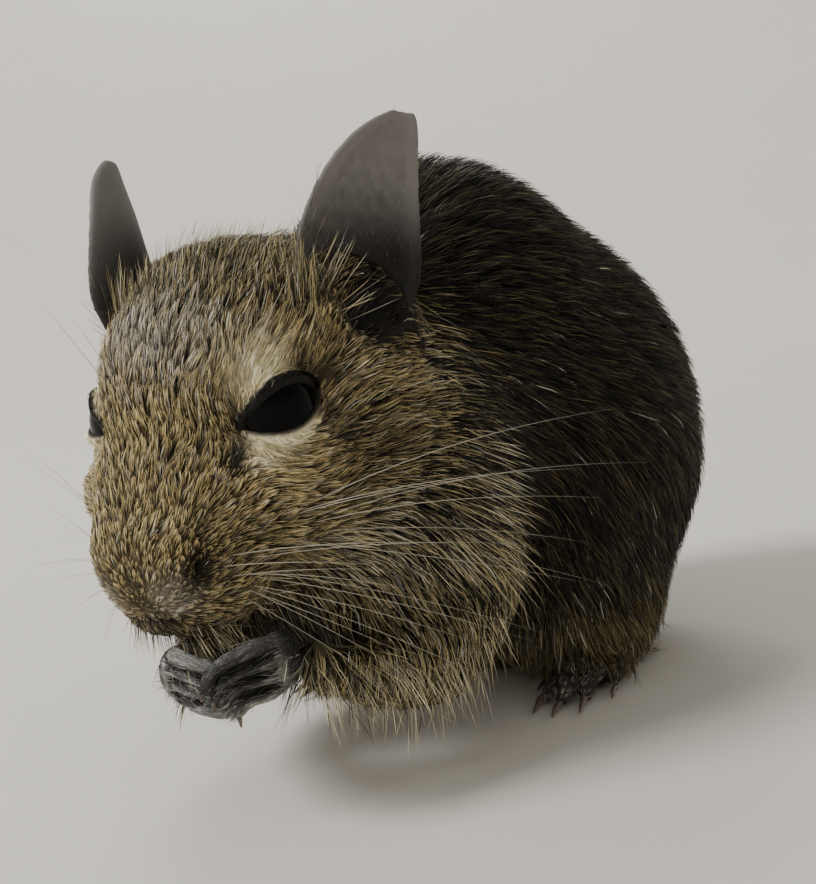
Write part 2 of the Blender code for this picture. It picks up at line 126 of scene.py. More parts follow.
def linear(hex_colour):
    """An sRGB hex colour as linear red, green, blue and alpha."""
    channels = [int(hex_colour[i : i + 2], 16) / 255 for i in (1, 3, 5)]
    turned = [c / 12.92 if c <= 0.04045 else ((c + 0.055) / 1.055) ** 2.4 for c in channels]
    return tuple(turned) + (1.0,)


def fade(gap, reach, power=2):
    """1 where there is no gap and 0 well past the reach, with a sharper edge for a higher power."""
    return np.exp(-((gap / reach) ** power))


def eye_middle(side):
    """The middle of one eye node."""
    low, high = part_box("eye_" + side)
    return (low + high) / 2


HEAD_AXES = np.array(
    Matrix.Rotation(HEAD_TURN, 3, "Z")
    @ Matrix.Rotation(HEAD_DOWN, 3, "X")
    @ Matrix.Rotation(HEAD_TILT, 3, "Y")
)
EYES_MIDDLE = np.array((eye_middle("left") + eye_middle("right")) / 2)
HEAD_ORIGIN = EYES_MIDDLE - HEAD_AXES @ np.array((0.0, EYE_PLACE_MM[1], EYE_PLACE_MM[2])) * MM
BODY_ORIGIN = HEAD_ORIGIN - np.array(HEAD_MIDDLE_MM) * MM


def mirrored(place, side):
    """A place or way of the left side as it is on a side, 1 for left and -1 for right."""
    return np.array(place) * (side, 1, 1)


def folded(head_mm):
    """Points of the head, with those of its right side mirrored to the left."""
    return np.column_stack([np.abs(head_mm[:, 0]), head_mm[:, 1:]])


def place_gap(head_mm, place):
    """How far each point of the head is from a place or from its mirror image, in mm."""
    return np.linalg.norm(folded(head_mm) - np.array(place), axis=1)


def eye_place(side):
    """The middle of the eyeball of one side, in head mm with x towards that side."""
    return np.array(EYE_PLACE_MM) - EYE_SINK_MM[side] * np.array(EYE_OUT)


def in_head(points):
    """Points of the frame in the head's own millimetres."""
    return (points - HEAD_ORIGIN) @ HEAD_AXES / MM


def from_head(points_mm):
    """Points in the head's own millimetres as points of the frame."""
    return HEAD_ORIGIN + np.asarray(points_mm, float) @ HEAD_AXES.T * MM


def in_body(points):
    """Points of the frame in the body's millimetres, which face -Y over the middle of the trunk."""
    return (points - BODY_ORIGIN) / MM


# Settings a user would change


def number_setting(name, description, default, least, most, **more):
    """A number that the user sets."""
    return bpy.props.FloatProperty(
        name=name, description=description, default=default, min=least, max=most, **more
    )


def length_setting(name, description, default_mm, least_mm, most_mm):
    """A length that the user sets."""
    sizes = (default_mm * MM, least_mm * MM, most_mm * MM)
    return number_setting(name, description, *sizes, precision=5, unit="LENGTH")


def colour_setting(name, description, hex_colour):
    """A colour that the user sets."""
    return bpy.props.FloatVectorProperty(
        name=name,
        description=description,
        default=linear(hex_colour)[:3],
        min=0.0,
        max=1.0,
        size=3,
        subtype="COLOR",
    )


class DeguCoatSettings(bpy.types.PropertyGroup):
    """The coat"""

    back_length: length_setting(
        "Back hair",
        "Length of the hair on the back. The other parts keep their share of it",
        BACK_HAIR_MM,
        2,
        20,
    )
    density: number_setting(
        "Density", "Share of the full coat's hairs that is grown", 1.0, 0.05, 1.0, subtype="FACTOR"
    )
    tufting: number_setting("Tufting", "How far the hairs are drawn together into tufts", 1.0, 0.0, 1.8)
    tint: colour_setting("Tint", "Colour that all the coat's colours are multiplied by", "#ffffff")


class DeguFaceSettings(bpy.types.PropertyGroup):
    """Eyes and whiskers"""

    eye_colour: colour_setting("Eye", "Colour of the eyes", "#060505")
    whisker_colour: colour_setting("Whiskers", "Colour of the whiskers", "#a8a393")
    whisker_length: length_setting("Whisker length", "Length of the longest whiskers", 37, 5, 45)
    whisker_thickness: length_setting("Whisker thickness", "Thickness at a whisker's root", 0.125, 0.05, 0.5)


class DeguStageSettings(bpy.types.PropertyGroup):
    """Floor and lights"""

    floor_colour: colour_setting("Floor", "Colour of the paper that the animal sits on", "#dedad2")
    key_power: number_setting("Key light", "Power of the main light", 12.5, 0.0, 100.0, unit="POWER")
    surround: number_setting("Surround", "Strength of the even light from all around", 0.45, 0.0, 2.0)


# Mesh reading and writing


def read(rows, name, width, kind=float):
    """One value of all rows of a mesh's list, as an array with a row for each."""
    flat = np.empty(len(rows) * width, kind)
    rows.foreach_get(name, flat)
    return flat.reshape(-1, width)


def write(rows, name, values, kind=np.float32):
    """Sets one value of all rows of a mesh's list from an array."""
    rows.foreach_set(name, values.astype(kind).ravel())


def points_of(mesh):
    """The vertices of a mesh as an array."""
    return read(mesh.vertices, "co", 3)


def put_points(mesh, points):
    """Moves the vertices of a mesh to an array of places."""
    write(mesh.vertices, "co", points)
    mesh.update()


def normals_of(mesh):
    """The vertex normals of a mesh as an array."""
    return read(mesh.vertex_normals, "vector", 3)


def edges_of(mesh):
    """The edges of a mesh as pairs of vertex numbers."""
    return read(mesh.edges, "vertices", 2, np.int32)


def spread(values, edges, rounds, share=0.6):
    """Evens values out over the mesh, so that they change softly from part to part."""
    made = values.reshape(len(values), -1).astype(float)
    count = len(made)
    degree = np.bincount(edges.ravel(), minlength=count).astype(float)
    degree = np.maximum(degree, 1.0)
    for _ in range(rounds):
        for column in range(made.shape[1]):
            values_here = made[:, column]
            total = np.bincount(edges[:, 0], values_here[edges[:, 1]], count)
            total += np.bincount(edges[:, 1], values_here[edges[:, 0]], count)
            made[:, column] = values_here * (1 - share) + share * total / degree
    return made.reshape(values.shape)


def tree_of(points):
    """A search tree over an array of points."""
    tree = KDTree(len(points))
    for number, point in enumerate(points.tolist()):
        tree.insert(point, number)
    tree.balance()
    return tree


def nearest(tree, points):
    """The number of the nearest tree point to each of many points."""
    find = tree.find
    return np.array([find(point)[1] for point in points.tolist()], np.int64)


# Objects and modifiers


def placed(name, data):
    """A new object in the scene."""
    obj = bpy.data.objects.new(name, data)
    bpy.context.scene.collection.objects.link(obj)
    return obj


def select_only(obj):
    """Makes one object the only selected one, and the active one."""
    bpy.ops.object.select_all(action="DESELECT")
    obj.select_set(True)
    bpy.context.view_layer.objects.active = obj


def finish_with(obj, kind, **settings):
    """Adds a modifier with its settings and applies it."""
    modifier = obj.modifiers.new(kind.title(), kind)
    for name, value in settings.items():
        setattr(modifier, name, value)
    select_only(obj)
    bpy.ops.object.modifier_apply(modifier=modifier.name)


def node_copy(name):
    """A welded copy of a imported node, which itself is never touched."""
    copy = placed(name + "_copy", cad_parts[name].data.copy())
    copy.data.materials.clear()
    select_only(copy)
    bpy.ops.object.mode_set(mode="EDIT")
    bpy.ops.mesh.select_all(action="SELECT")
    bpy.ops.mesh.remove_doubles(threshold=0.01 * MM)
    bpy.ops.object.mode_set(mode="OBJECT")
    return copy


def joined(objects, name):
    """Several mesh objects as one."""
    bpy.ops.object.select_all(action="DESELECT")
    for obj in objects:
        obj.select_set(True)
    bpy.context.view_layer.objects.active = objects[0]
    bpy.ops.object.join()
    made = bpy.context.view_layer.objects.active
    made.name = name
    return made


def fused(names, name, swell, voxel, smooth_rounds, rounding=0):
    """Node copies as one closed mesh: they are swollen past their cuts and remeshed together."""
    copies = []
    for node in names:
        copy = node_copy(node)
        if rounding:
            finish_with(copy, "SUBSURF", levels=rounding, render_levels=rounding)
        if swell:
            finish_with(copy, "DISPLACE", strength=swell, mid_level=0.0)
        copies.append(copy)
    made = joined(copies, name) if len(copies) > 1 else copies[0]
    made.name = name
    finish_with(made, "REMESH", mode="VOXEL", voxel_size=voxel, use_smooth_shade=True)
    finish_with(made, "SMOOTH", factor=0.5, iterations=smooth_rounds)
    return made


def surface_tree(names):
    """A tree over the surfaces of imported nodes, and the node that each of its faces is of."""
    points = []
    faces = []
    owners = []
    start = 0
    for number, name in enumerate(names):
        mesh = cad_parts[name].data
        points.extend(v.co.copy() for v in mesh.vertices)
        faces.extend(tuple(start + i for i in p.vertices) for p in mesh.polygons)
        owners.extend([number] * len(mesh.polygons))
        start += len(mesh.vertices)
    return BVHTree.FromPolygons(points, faces), np.array(owners)


# Points of a piece this near to its host are drawn in fully, and those this far off stay
CUT_GAP_MM = (0.35, 1.2)


def rooted(piece, host, depth):
    """Draws the end of a piece that meets its host into the host, so that their skins join."""
    tree, _ = surface_tree([host])
    points = points_of(piece.data)
    found = [tree.find_nearest(Vector(point)) for point in points]
    normals = np.array([hit[1] for hit in found])
    gaps = np.array([hit[3] for hit in found])
    pull = 1.0 - smoothstep(CUT_GAP_MM[0] * MM, CUT_GAP_MM[1] * MM, gaps)
    way = unit(np.sum(normals * pull[:, None], axis=0))
    put_points(piece.data, points - way * (pull * depth)[:, None])


def parts_of(points):
    """The number in PART_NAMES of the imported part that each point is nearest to."""
    tree, owners = surface_tree(PART_NAMES)
    find = tree.find_nearest
    return owners[[find(point)[2] for point in points.tolist()]]


PART_NAMES = TRUNK_NODES + TAIL_NODES + FINE_NODES


def of_kind(parts, *kinds):
    """True where the name of a point's part starts with one of some words."""
    return np.array([node.startswith(kinds) for node in PART_NAMES])[parts]


def coat_row(node):
    """The row of COAT_BY_PART for a node."""
    return COAT_BY_PART[node] if node in COAT_BY_PART else COAT_BY_PART[node.split("_")[0]]


COAT_ROWS = np.array([coat_row(node) for node in PART_NAMES])


# Shape of the coat, the same for skin and hair


def head_scale(head_mm):
    """Share of the head's full coat at each point: least on the muzzle, most on cheeks and throat."""
    along = smoothstep(-23.0, 6.0, head_mm[:, 1])
    low = smoothstep(4.0, -14.0, head_mm[:, 2]) * smoothstep(-16.0, -4.0, head_mm[:, 1])
    return 0.30 + 0.72 * along + 0.75 * low


def coat_depth(points, parts, edges):
    """Depth of the coat at each skin point, in mm."""
    head_mm = in_head(points)
    depth = COAT_ROWS[parts, 0].copy()
    on_head = of_kind(parts, "head")
    depth[on_head] *= head_scale(head_mm[on_head])
    depth = spread(depth, edges, 24)
    by_eye = place_gap(head_mm, EYE_PLACE_MM) - EYE_RADIUS_MM
    depth *= 0.25 + 0.75 * smoothstep(0.3, 4.0, by_eye)
    tree, _ = surface_tree(FINE_NODES)
    gap = np.array([tree.find_nearest(point)[3] for point in points.tolist()]) / MM
    return depth * (0.15 + 0.85 * smoothstep(0.6, 6.0, gap))


def trunk_flow(body_mm, normals):
    """The way the coat lies on neck and trunk: back along the spine and down the flanks."""
    flank = np.clip(np.abs(body_mm[:, 0]) / 30.0, 0, 1)
    rump = smoothstep(18.0, 40.0, body_mm[:, 1])
    chest = smoothstep(-0.1, -0.75, normals[:, 1]) * smoothstep(46.0, 30.0, body_mm[:, 2])
    way = np.stack([0.16 * np.sign(body_mm[:, 0]) * flank, np.full(len(flank), 0.9), -0.75 * flank], 1)
    way += rump[:, None] * np.array((0.0, -0.35, -1.1))
    way += chest[:, None] * np.array((0.0, -0.55, -1.0))
    return way


# The coat of the head parts here, ahead of the nose
HAIR_SOURCE_MM = (0.0, -25.5, -7.0)


def turned_away(way, offset, gap, least, reach):
    """Turns the coat's lie away from an opening that the offsets start at, by how near it is."""
    away = unit(offset)
    short = np.maximum(least - np.sum(way * away, axis=1), 0)
    return way + away * (short * fade(np.maximum(gap, 0), reach, 1))[:, None]


def head_flow(head_mm):
    """The way the coat lies on the head: away from the nose, and off eyes, nostrils and ears' hollows."""
    way = unit(head_mm - np.array(HAIR_SOURCE_MM))
    way[:, 2] -= 0.35 * smoothstep(6.0, 16.0, np.abs(head_mm[:, 0])) * smoothstep(6.0, -4.0, head_mm[:, 2])
    for _, side in SIDES:
        out = mirrored(EYE_OUT, side)
        from_eye = head_mm - mirrored(eye_place(side), side)
        gap = np.linalg.norm(from_eye, axis=1) - EYE_RADIUS_MM
        from_eye -= out * (from_eye @ out)[:, None]
        way = turned_away(way, from_eye, gap, 0.7, 2.6)
        for route, least, reach in ((NOSTRIL_MM, 1.1, 1.5), (TEAR_CORNER_MM, 0.4, 1.0)):
            near = nearest_on(head_mm, mirrored(route, side))
            gap = np.linalg.norm(head_mm - near, axis=1)
            way = turned_away(way, head_mm - near, gap, least, reach)
        from_bowl = head_mm - mirrored(EAR_BOWL_MM, side)
        gap = np.linalg.norm(from_bowl, axis=1) - EAR_BOWL_REACH_MM
        way = turned_away(way, from_bowl, gap, 0.6, 2.0)
    return way @ HEAD_AXES.T


TAIL_ROOT_Y_MM = 27.0
TAIL_BEND_MM = 124.0 / math.radians(105)


def tail_flow(body_mm):
    """The way along the tail to its tip, which curls to the animal's right."""
    angle = np.arctan2(body_mm[:, 1] - TAIL_ROOT_Y_MM, body_mm[:, 0] + TAIL_BEND_MM)
    return np.stack([-np.sin(angle), np.cos(angle), np.zeros(len(angle))], 1)


EAR_ROOT_MM = (12.4, 12.8, 2.5)


def ear_way(side):
    """From the root to the tip of an ear."""
    low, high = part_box("ear_" + side)
    root = from_head(mirrored(EAR_ROOT_MM, dict(SIDES)[side]))
    tip = np.array(((low.x + high.x) / 2, high.y * 0.6 + low.y * 0.4, high.z))
    return unit(tip - root)


LIMB_WAYS = {
    "arm_left": (0.1, -0.3, -0.9),
    "arm_right": (-0.1, -0.3, -0.9),
    "thigh_left": (0.05, 0.25, -0.9),
    "thigh_right": (-0.05, 0.25, -0.9),
    "foot_left": (0.1, -1.0, -0.15),
    "foot_right": (-0.1, -1.0, -0.15),
}


def coat_flow(points, normals, parts, edges):
    """The way the coat lies at each skin point, along the skin."""
    body_mm = in_body(points)
    head_mm = in_head(points)
    way = trunk_flow(body_mm, normals)
    for number, node in enumerate(PART_NAMES):
        here = parts == number
        if node == "head":
            way[here] = head_flow(head_mm[here])
        elif node.startswith("tail"):
            way[here] = tail_flow(body_mm[here])
        elif node.startswith("ear"):
            way[here] = ear_way(node.split("_")[1])
        elif node.startswith("hand"):
            way[here] = finger_flow(points[here], node.split("_")[1])
        elif node in LIMB_WAYS:
            way[here] = LIMB_WAYS[node]
    way = spread(unit(way), edges, 30)
    way -= normals * np.sum(way * normals, axis=1, keepdims=True)
    return unit(way)


# Skin


def soften(mesh, chosen, rounds):
    """Smooths only the chosen vertices of a mesh."""
    edges = edges_of(mesh)
    points = points_of(mesh)
    even = spread(points, edges, rounds, 0.5)
    points[chosen] = even[chosen]
    put_points(mesh, points)


def near_place(skin, middle_mm, reach_mm):
    """Which vertices of the skin are near a place of the head."""
    return np.linalg.norm(in_head(points_of(skin.data)) - np.array(middle_mm), axis=1) < reach_mm


def refine(skin, middle_mm, reach_mm):
    """Divides the faces round a place of the head, and smooths them."""
    select_only(skin)
    bpy.ops.object.mode_set(mode="EDIT")
    bpy.ops.mesh.select_all(action="DESELECT")
    bpy.ops.mesh.select_mode(type="VERT")
    bpy.ops.object.mode_set(mode="OBJECT")
    skin.data.vertices.foreach_set("select", near_place(skin, middle_mm, reach_mm))
    bpy.ops.object.mode_set(mode="EDIT")
    bpy.ops.mesh.select_mode(type="FACE")
    bpy.ops.mesh.subdivide(number_cuts=1)
    bpy.ops.object.mode_set(mode="OBJECT")
    soften(skin.data, near_place(skin, middle_mm, reach_mm), 3)


# How far from the middle of an eye the lids reach, and how far they hold hair and colour
LIDS_REACH_MM = 10.5
LID_COAT_REACH_MM = 9.0
# How fast a point counts as outside the opening beyond the corners of the eye
CORNER_LOSS = 1.2


def opening_depth(head_mm, side):
    """How far points are inside the lids' opening in mm, if they are above its middle, and their radius
    and way from the middle of the eye.
    """
    out = np.array(EYE_OUT)
    along = np.array(CANTHUS_LINE)
    over = np.cross(out, along)
    over *= np.sign(over[2])
    from_eye = mirrored(head_mm, side) - eye_place(side)
    radius = np.linalg.norm(from_eye, axis=1)
    way = unit(from_eye)
    turn = np.degrees(np.arctan2(way @ along, way @ out))
    rise = np.degrees(np.arcsin(np.clip(way @ over, -1, 1)))
    upper = UPPER_LID_HEIGHT * (1 - np.abs(turn / EYE_HALF_LENGTH) ** 1.8)
    lower_turn = (turn + LOWER_LID_FORWARD) / (EYE_HALF_LENGTH - LOWER_LID_SHORTER)
    lower = -LOWER_LID_DROP * (1 - lower_turn**2)
    upper *= LID_SHARE[side]
    lower *= LID_SHARE[side]
    inside = np.minimum(upper - rise, rise - lower)
    inside -= CORNER_LOSS * np.maximum(np.abs(turn) - EYE_HALF_LENGTH, 0)
    above = rise > (upper + lower) / 2
    return inside * math.radians(EYE_RADIUS_MM), above, radius, way


# Height of the rim and depth of the fold of the upper and the lower lid, the gap between lids and
# eyeball, and how deep the skin dives behind the opening
LID_RIM_MM = (0.36, 0.24)
LID_FOLD_MM = (0.34, 0.10)
LID_CLEARANCE_MM = 0.28
LID_DIVE_MM = 1.5
LID_EDGE_MM = -0.1


def shape_lids(skin):
    """Draws the skin over each eyeball as an upper and a lower lid with a slit between them."""
    points = points_of(skin.data)
    head_mm = in_head(points)
    for _, side in SIDES:
        inside, above, radius, way = opening_depth(head_mm, side)
        over_eye = EYE_RADIUS_MM + LID_CLEARANCE_MM
        rim = over_eye + np.where(above, *LID_RIM_MM) * fade(inside + 0.45, 0.42)
        fold = np.where(above, *LID_FOLD_MM) * fade(inside + 1.9, 0.4)
        dive = over_eye - LID_DIVE_MM * smoothstep(LID_EDGE_MM, 0.75, inside)
        dive += 0.45 * fade(np.abs(inside), 0.2, 1)
        target = np.where(inside > LID_EDGE_MM, np.minimum(rim, dive), rim)
        hold = smoothstep(-4.6, -1.2, inside)
        new_radius = radius + (target - radius) * hold - fold * smoothstep(-4.0, -2.0, inside)
        moved = mirrored(eye_place(side) + way * new_radius[:, None], side)
        near = radius < LIDS_REACH_MM
        head_mm[near] = moved[near]
    put_points(skin.data, from_head(head_mm))


NOSTRIL_MM = ((7.9, -17.6, -2.5), (7.1, -19.0, -3.1), (6.5, -20.0, -4.3), (6.2, -20.6, -5.5))
MOUTH_MM = ((0.0, -20.4, -13.6), (2.6, -19.8, -14.0), (5.4, -17.4, -14.0), (7.2, -13.6, -13.6))
PHILTRUM_MM = ((0.0, -23.2, -8.2), (0.0, -22.4, -11.0), (0.0, -20.8, -13.4))
NOSE_EDGE_MM = ((0.0, -22.9, -8.4), (2.0, -22.2, -9.2), (3.9, -21.6, -8.9))
TEAR_CORNER_MM = ((11.0, -6.2, 4.9), (9.9, -7.9, 4.2))
TEAR_MM = ((9.9, -7.9, 4.2), (9.8, -9.0, 3.1), (9.5, -10.4, 2.0))
# Width and depth of each groove of the face, and how wide the skin is bare along it, in mm
GROOVES = (
    (NOSTRIL_MM, 0.60, 1.7, 0.90),
    (MOUTH_MM, 0.50, 0.9, 0.7),
    (PHILTRUM_MM, 0.32, 0.35, 0.4),
    (NOSE_EDGE_MM, 0.50, 0.45, 0.35),
    (TEAR_CORNER_MM, 0.60, 0.60, 0.80),
    (TEAR_MM, 0.45, 0.50, 0.60),
)
EAR_BOWL_MM = (18.1, 14.3, 5.0)
EAR_BOWL_REACH_MM = 5.3
EAR_BOWL_DEPTH_MM = 2.2


def nearest_on(points, route):
    """The nearest place to each point on a bent line."""
    best = np.full(len(points), 1e9)
    places = np.zeros((len(points), 3))
    for start, end in zip(route[:-1], route[1:]):
        line = np.subtract(end, start)
        part = np.clip((points - start) @ line / (line @ line), 0, 1)
        place = start + part[:, None] * line
        gap = np.linalg.norm(points - place, axis=1)
        places = np.where((gap < best)[:, None], place, places)
        best = np.minimum(best, gap)
    return places


def line_gap(points, route):
    """Distance of each point from a bent line."""
    return np.linalg.norm(points - nearest_on(points, route), axis=1)


def route_gap(head_mm, route):
    """Distance of each point of the head from a bent line, which is mirrored to the point's own side."""
    return line_gap(folded(head_mm), route)


def by_opening(head_mm):
    """How far each point is outside the nearest eye, nose opening, tear corner or ear's hollow, in mm."""
    gap = place_gap(head_mm, EAR_BOWL_MM) - EAR_BOWL_REACH_MM
    for _, side in SIDES:
        inside, _, radius, _ = opening_depth(head_mm, side)
        gap = np.where(radius < LID_COAT_REACH_MM, np.minimum(gap, -inside), gap)
    for route in (NOSTRIL_MM, TEAR_CORNER_MM, TEAR_MM):
        gap = np.minimum(gap, route_gap(head_mm, route) - 0.6)
    return gap


def carve_face(skin):
    """Presses nostrils, tear grooves, the cleft lip, the mouth line and the ears' hollows into the skin."""
    points = points_of(skin.data)
    normals = normals_of(skin.data)
    head_mm = in_head(points)
    press = EAR_BOWL_DEPTH_MM * fade(place_gap(head_mm, EAR_BOWL_MM), EAR_BOWL_REACH_MM, 4)
    for route, width, depth, _ in GROOVES:
        press = np.maximum(press, depth * fade(route_gap(head_mm, route), width))
    put_points(skin.data, points - normals * (press * MM)[:, None])


FINGERS = 4
FURROW_WIDTH_MM = 0.48
FURROW_DEPTH_MM = 1.15
FINGER_ROUNDING_MM = 0.2
# Width of the painted shade along a furrow, in the coat and the skin, where the coat is also thinner
FURROW_SHADE_MM = 0.95


def finger_route(side, number):
    """Knuckle, bow and tip of one finger, counted from the thumb's side, in body mm."""
    if side == "right":
        start = np.array((-0.2, -64.4 + 0.4 * number, 20.8 - 1.75 * number))
        end = start + (6.4, -0.4 + 0.1 * number, -1.2)
        bow = (0.0, -1.2, 0.3)
    else:
        start = np.array((11.0 - 0.2 * number, -63.0 + 0.4 * number, 21.6 - 1.75 * number))
        end = np.array((6.6 + 0.7 * number, -67.2 + 0.7 * number, 18.6 - 1.085 * number))
        bow = (-0.3, -1.2, 0.5)
    return start, (start + end) / 2 + bow, end


# How much each finger shines in the photo, from the thumb's side
FINGER_SHINE = {"left": (0.2, 0.6, 1.0, 1.0), "right": (0.55, 0.95, 1.0, 0.7)}


def between_fingers(points, side, width):
    """The nearest finger to each point of a hand, its distance, and how much the point is between two."""
    routes = [finger_route(side, number) for number in range(FINGERS)]
    gaps = np.stack([line_gap(in_body(points), route) for route in routes], 1)
    order = np.sort(gaps, axis=1)
    near = 1.0 - smoothstep(1.3, 2.0, order[:, 0])
    furrow = near * fade(order[:, 1] - order[:, 0], width)
    return np.argmin(gaps, axis=1), order[:, 0], furrow


def finger_flow(points, side):
    """The way along the nearest stretch of a finger at each point of a hand."""
    routes = [finger_route(side, number) for number in range(FINGERS)]
    stretches = [pair for route in routes for pair in zip(route[:-1], route[1:])]
    gaps = np.stack([line_gap(in_body(points), pair) for pair in stretches], 1)
    ways = unit(np.array([end - start for start, end in stretches]))
    return ways[np.argmin(gaps, axis=1)]


def part_fingers(piece, side):
    """Deepens the furrows between the fingers of a hand and rounds each finger."""
    points = points_of(piece.data)
    normals = normals_of(piece.data)
    _, gap, furrow = between_fingers(points, side, FURROW_WIDTH_MM)
    near = 1.0 - smoothstep(1.3, 2.0, gap)
    round_out = FINGER_ROUNDING_MM * near * fade(gap - 0.8, 0.5)
    put_points(piece.data, points + normals * ((round_out - FURROW_DEPTH_MM * furrow) * MM)[:, None])


def united(skin, pieces):
    """One closed skin from the trunk's and the finer pieces."""
    other = joined(pieces, "fine_skin")
    finish_with(skin, "BOOLEAN", operation="UNION", solver="MANIFOLD", object=other)
    bpy.data.objects.remove(other)
    return skin


def sink(piece):
    """Moves a fused piece inwards by the coat's depth."""
    points = points_of(piece.data)
    edges = edges_of(piece.data)
    parts = parts_of(points)
    normals = unit(spread(normals_of(piece.data), edges, 4))
    depth = coat_depth(points, parts, edges)
    put_points(piece.data, points - normals * (depth * MM)[:, None])


SKIN_TRIANGLES = 190000
# How far pieces are swollen past their cuts, and how finely they are remeshed
SWELL_MM = 0.28
FINE_SWELL_MM = 0.06
TRUNK_VOXEL_MM = 0.8
TAIL_VOXEL_MM = 0.5
FINE_VOXEL_MM = {"hand": 0.2, "foot": 0.24, "ear": 0.28}
TAIL_ROOT_DEPTH_MM = 4.0
# How far round each eye and the muzzle the skin is divided more finely, once for each row
EYE_REFINED_MM = (LIDS_REACH_MM, 8.5)
MUZZLE_REFINED_MM = (((0.0, -20.0, -7.0), 11.0), ((0.0, -20.5, -7.0), 9.5))


def build_skin():
    """The whole skin: trunk and head, tail, hands, feet and ears in one closed mesh."""
    skin = fused(TRUNK_NODES + ("eye_left", "eye_right"), "skin", SWELL_MM * MM, TRUNK_VOXEL_MM * MM, 6)
    sink(skin)
    for _, side in SIDES:
        for reach in EYE_REFINED_MM:
            refine(skin, mirrored(eye_place(side), side), reach)
    for middle, reach in MUZZLE_REFINED_MM:
        refine(skin, middle, reach)
    shape_lids(skin)
    carve_face(skin)
    pieces = []
    for node in FINE_NODES:
        limb, side = node.split("_")
        voxel = FINE_VOXEL_MM[limb] * MM
        piece = fused([node], node + "_skin", FINE_SWELL_MM * MM, voxel, 2, rounding=1)
        host, depth = ROOTS[limb]
        if limb == "hand":
            part_fingers(piece, side)
        rooted(piece, host if host == "head" else f"{host}_{side}", depth * MM)
        pieces.append(piece)
    tail = fused(TAIL_NODES, "tail_skin", SWELL_MM * MM, TAIL_VOXEL_MM * MM, 3)
    sink(tail)
    rooted(tail, "trunk", TAIL_ROOT_DEPTH_MM * MM)
    pieces.append(tail)
    skin = united(skin, pieces)
    skin.data.calc_loop_triangles()
    finish_with(skin, "DECIMATE", ratio=SKIN_TRIANGLES / len(skin.data.loop_triangles))
    return skin


def hollows(points, normals, edges):
    """How hollow the skin is at each point, from 0 on rounded places to 1 in folds and creases."""
    even = spread(points, edges, 4, 0.6)
    sunk = np.sum((even - points) * normals, axis=1) / MM
    return smoothstep(0.0, 0.05, sunk)


# Colours of the coat and the bare skin

PALETTE = {
    "dark": "#0e0b08",
    "umber": "#2b2319",
    "gold": "#d0bb86",
    "straw": "#b5a87c",
    "cream": "#fff3cd",
    "silver": "#c4c0b4",
    # Painted glint on the hair of the fingers
    "painted_glint": "#efede6",
    "grizzle": "#b3aa96",
    "olive": "#7f7450",
    "dull_buff": "#50472f",
    "fringe": "#d8cda8",
    "ash": "#968f80",
    "brush": "#0e0c0b",
    "mist": "#bcb49f",
    "ear_grey": "#73706d",
    # Painted shade in the ears' hollows
    "ear_hollow_shade": "#1c1917",
    "paw_grey": "#2f2b29",
    "lid_grey": "#0f0d0c",
    # Near-black painted shade for nostrils, grooves, hollows, under the mouth and between the fingers
    "deep_shade": "#0a0706",
}

# Colour of each part: ground, band, share of hairs with a band, share of silver hairs
TONE_BY_PART = {
    "head": ("umber", "gold", 0.68, 0.08),
    "neck": ("dark", "straw", 0.42, 0.03),
    # Trunk and thighs: darker than the coat's own grey-brown, partly its colour and partly painted shade
    "trunk": ("dark", "dull_buff", 0.32, 0.004),
    "arm": ("dark", "straw", 0.40, 0.04),
    "thigh": ("dark", "dull_buff", 0.32, 0.004),
    # Hands: near-black painted shade under a painted glint, which light_fingers lights finger by finger
    "hand": ("deep_shade", "painted_glint", 0.75, 0.0),
    "foot": ("paw_grey", "ash", 0.60, 0.25),
    "ear": ("ear_grey", "ear_grey", 0.50, 0.0),
    "tail_base": ("dark", "dull_buff", 0.34, 0.01),
    "tail_middle": ("dark", "dull_buff", 0.22, 0.01),
    "tail_brush": ("brush", "umber", 0.35, 0.01),
}

# The paler underside, and the short hair of the upper lids, as ground, band, share and silver
BELLY_TONE = ("umber", "olive", 0.75, 0.05)
BELLY_HEIGHTS_MM = (17.0, 6.0)
LID_TONE = ("lid_grey", "umber", 0.5, 0.06)

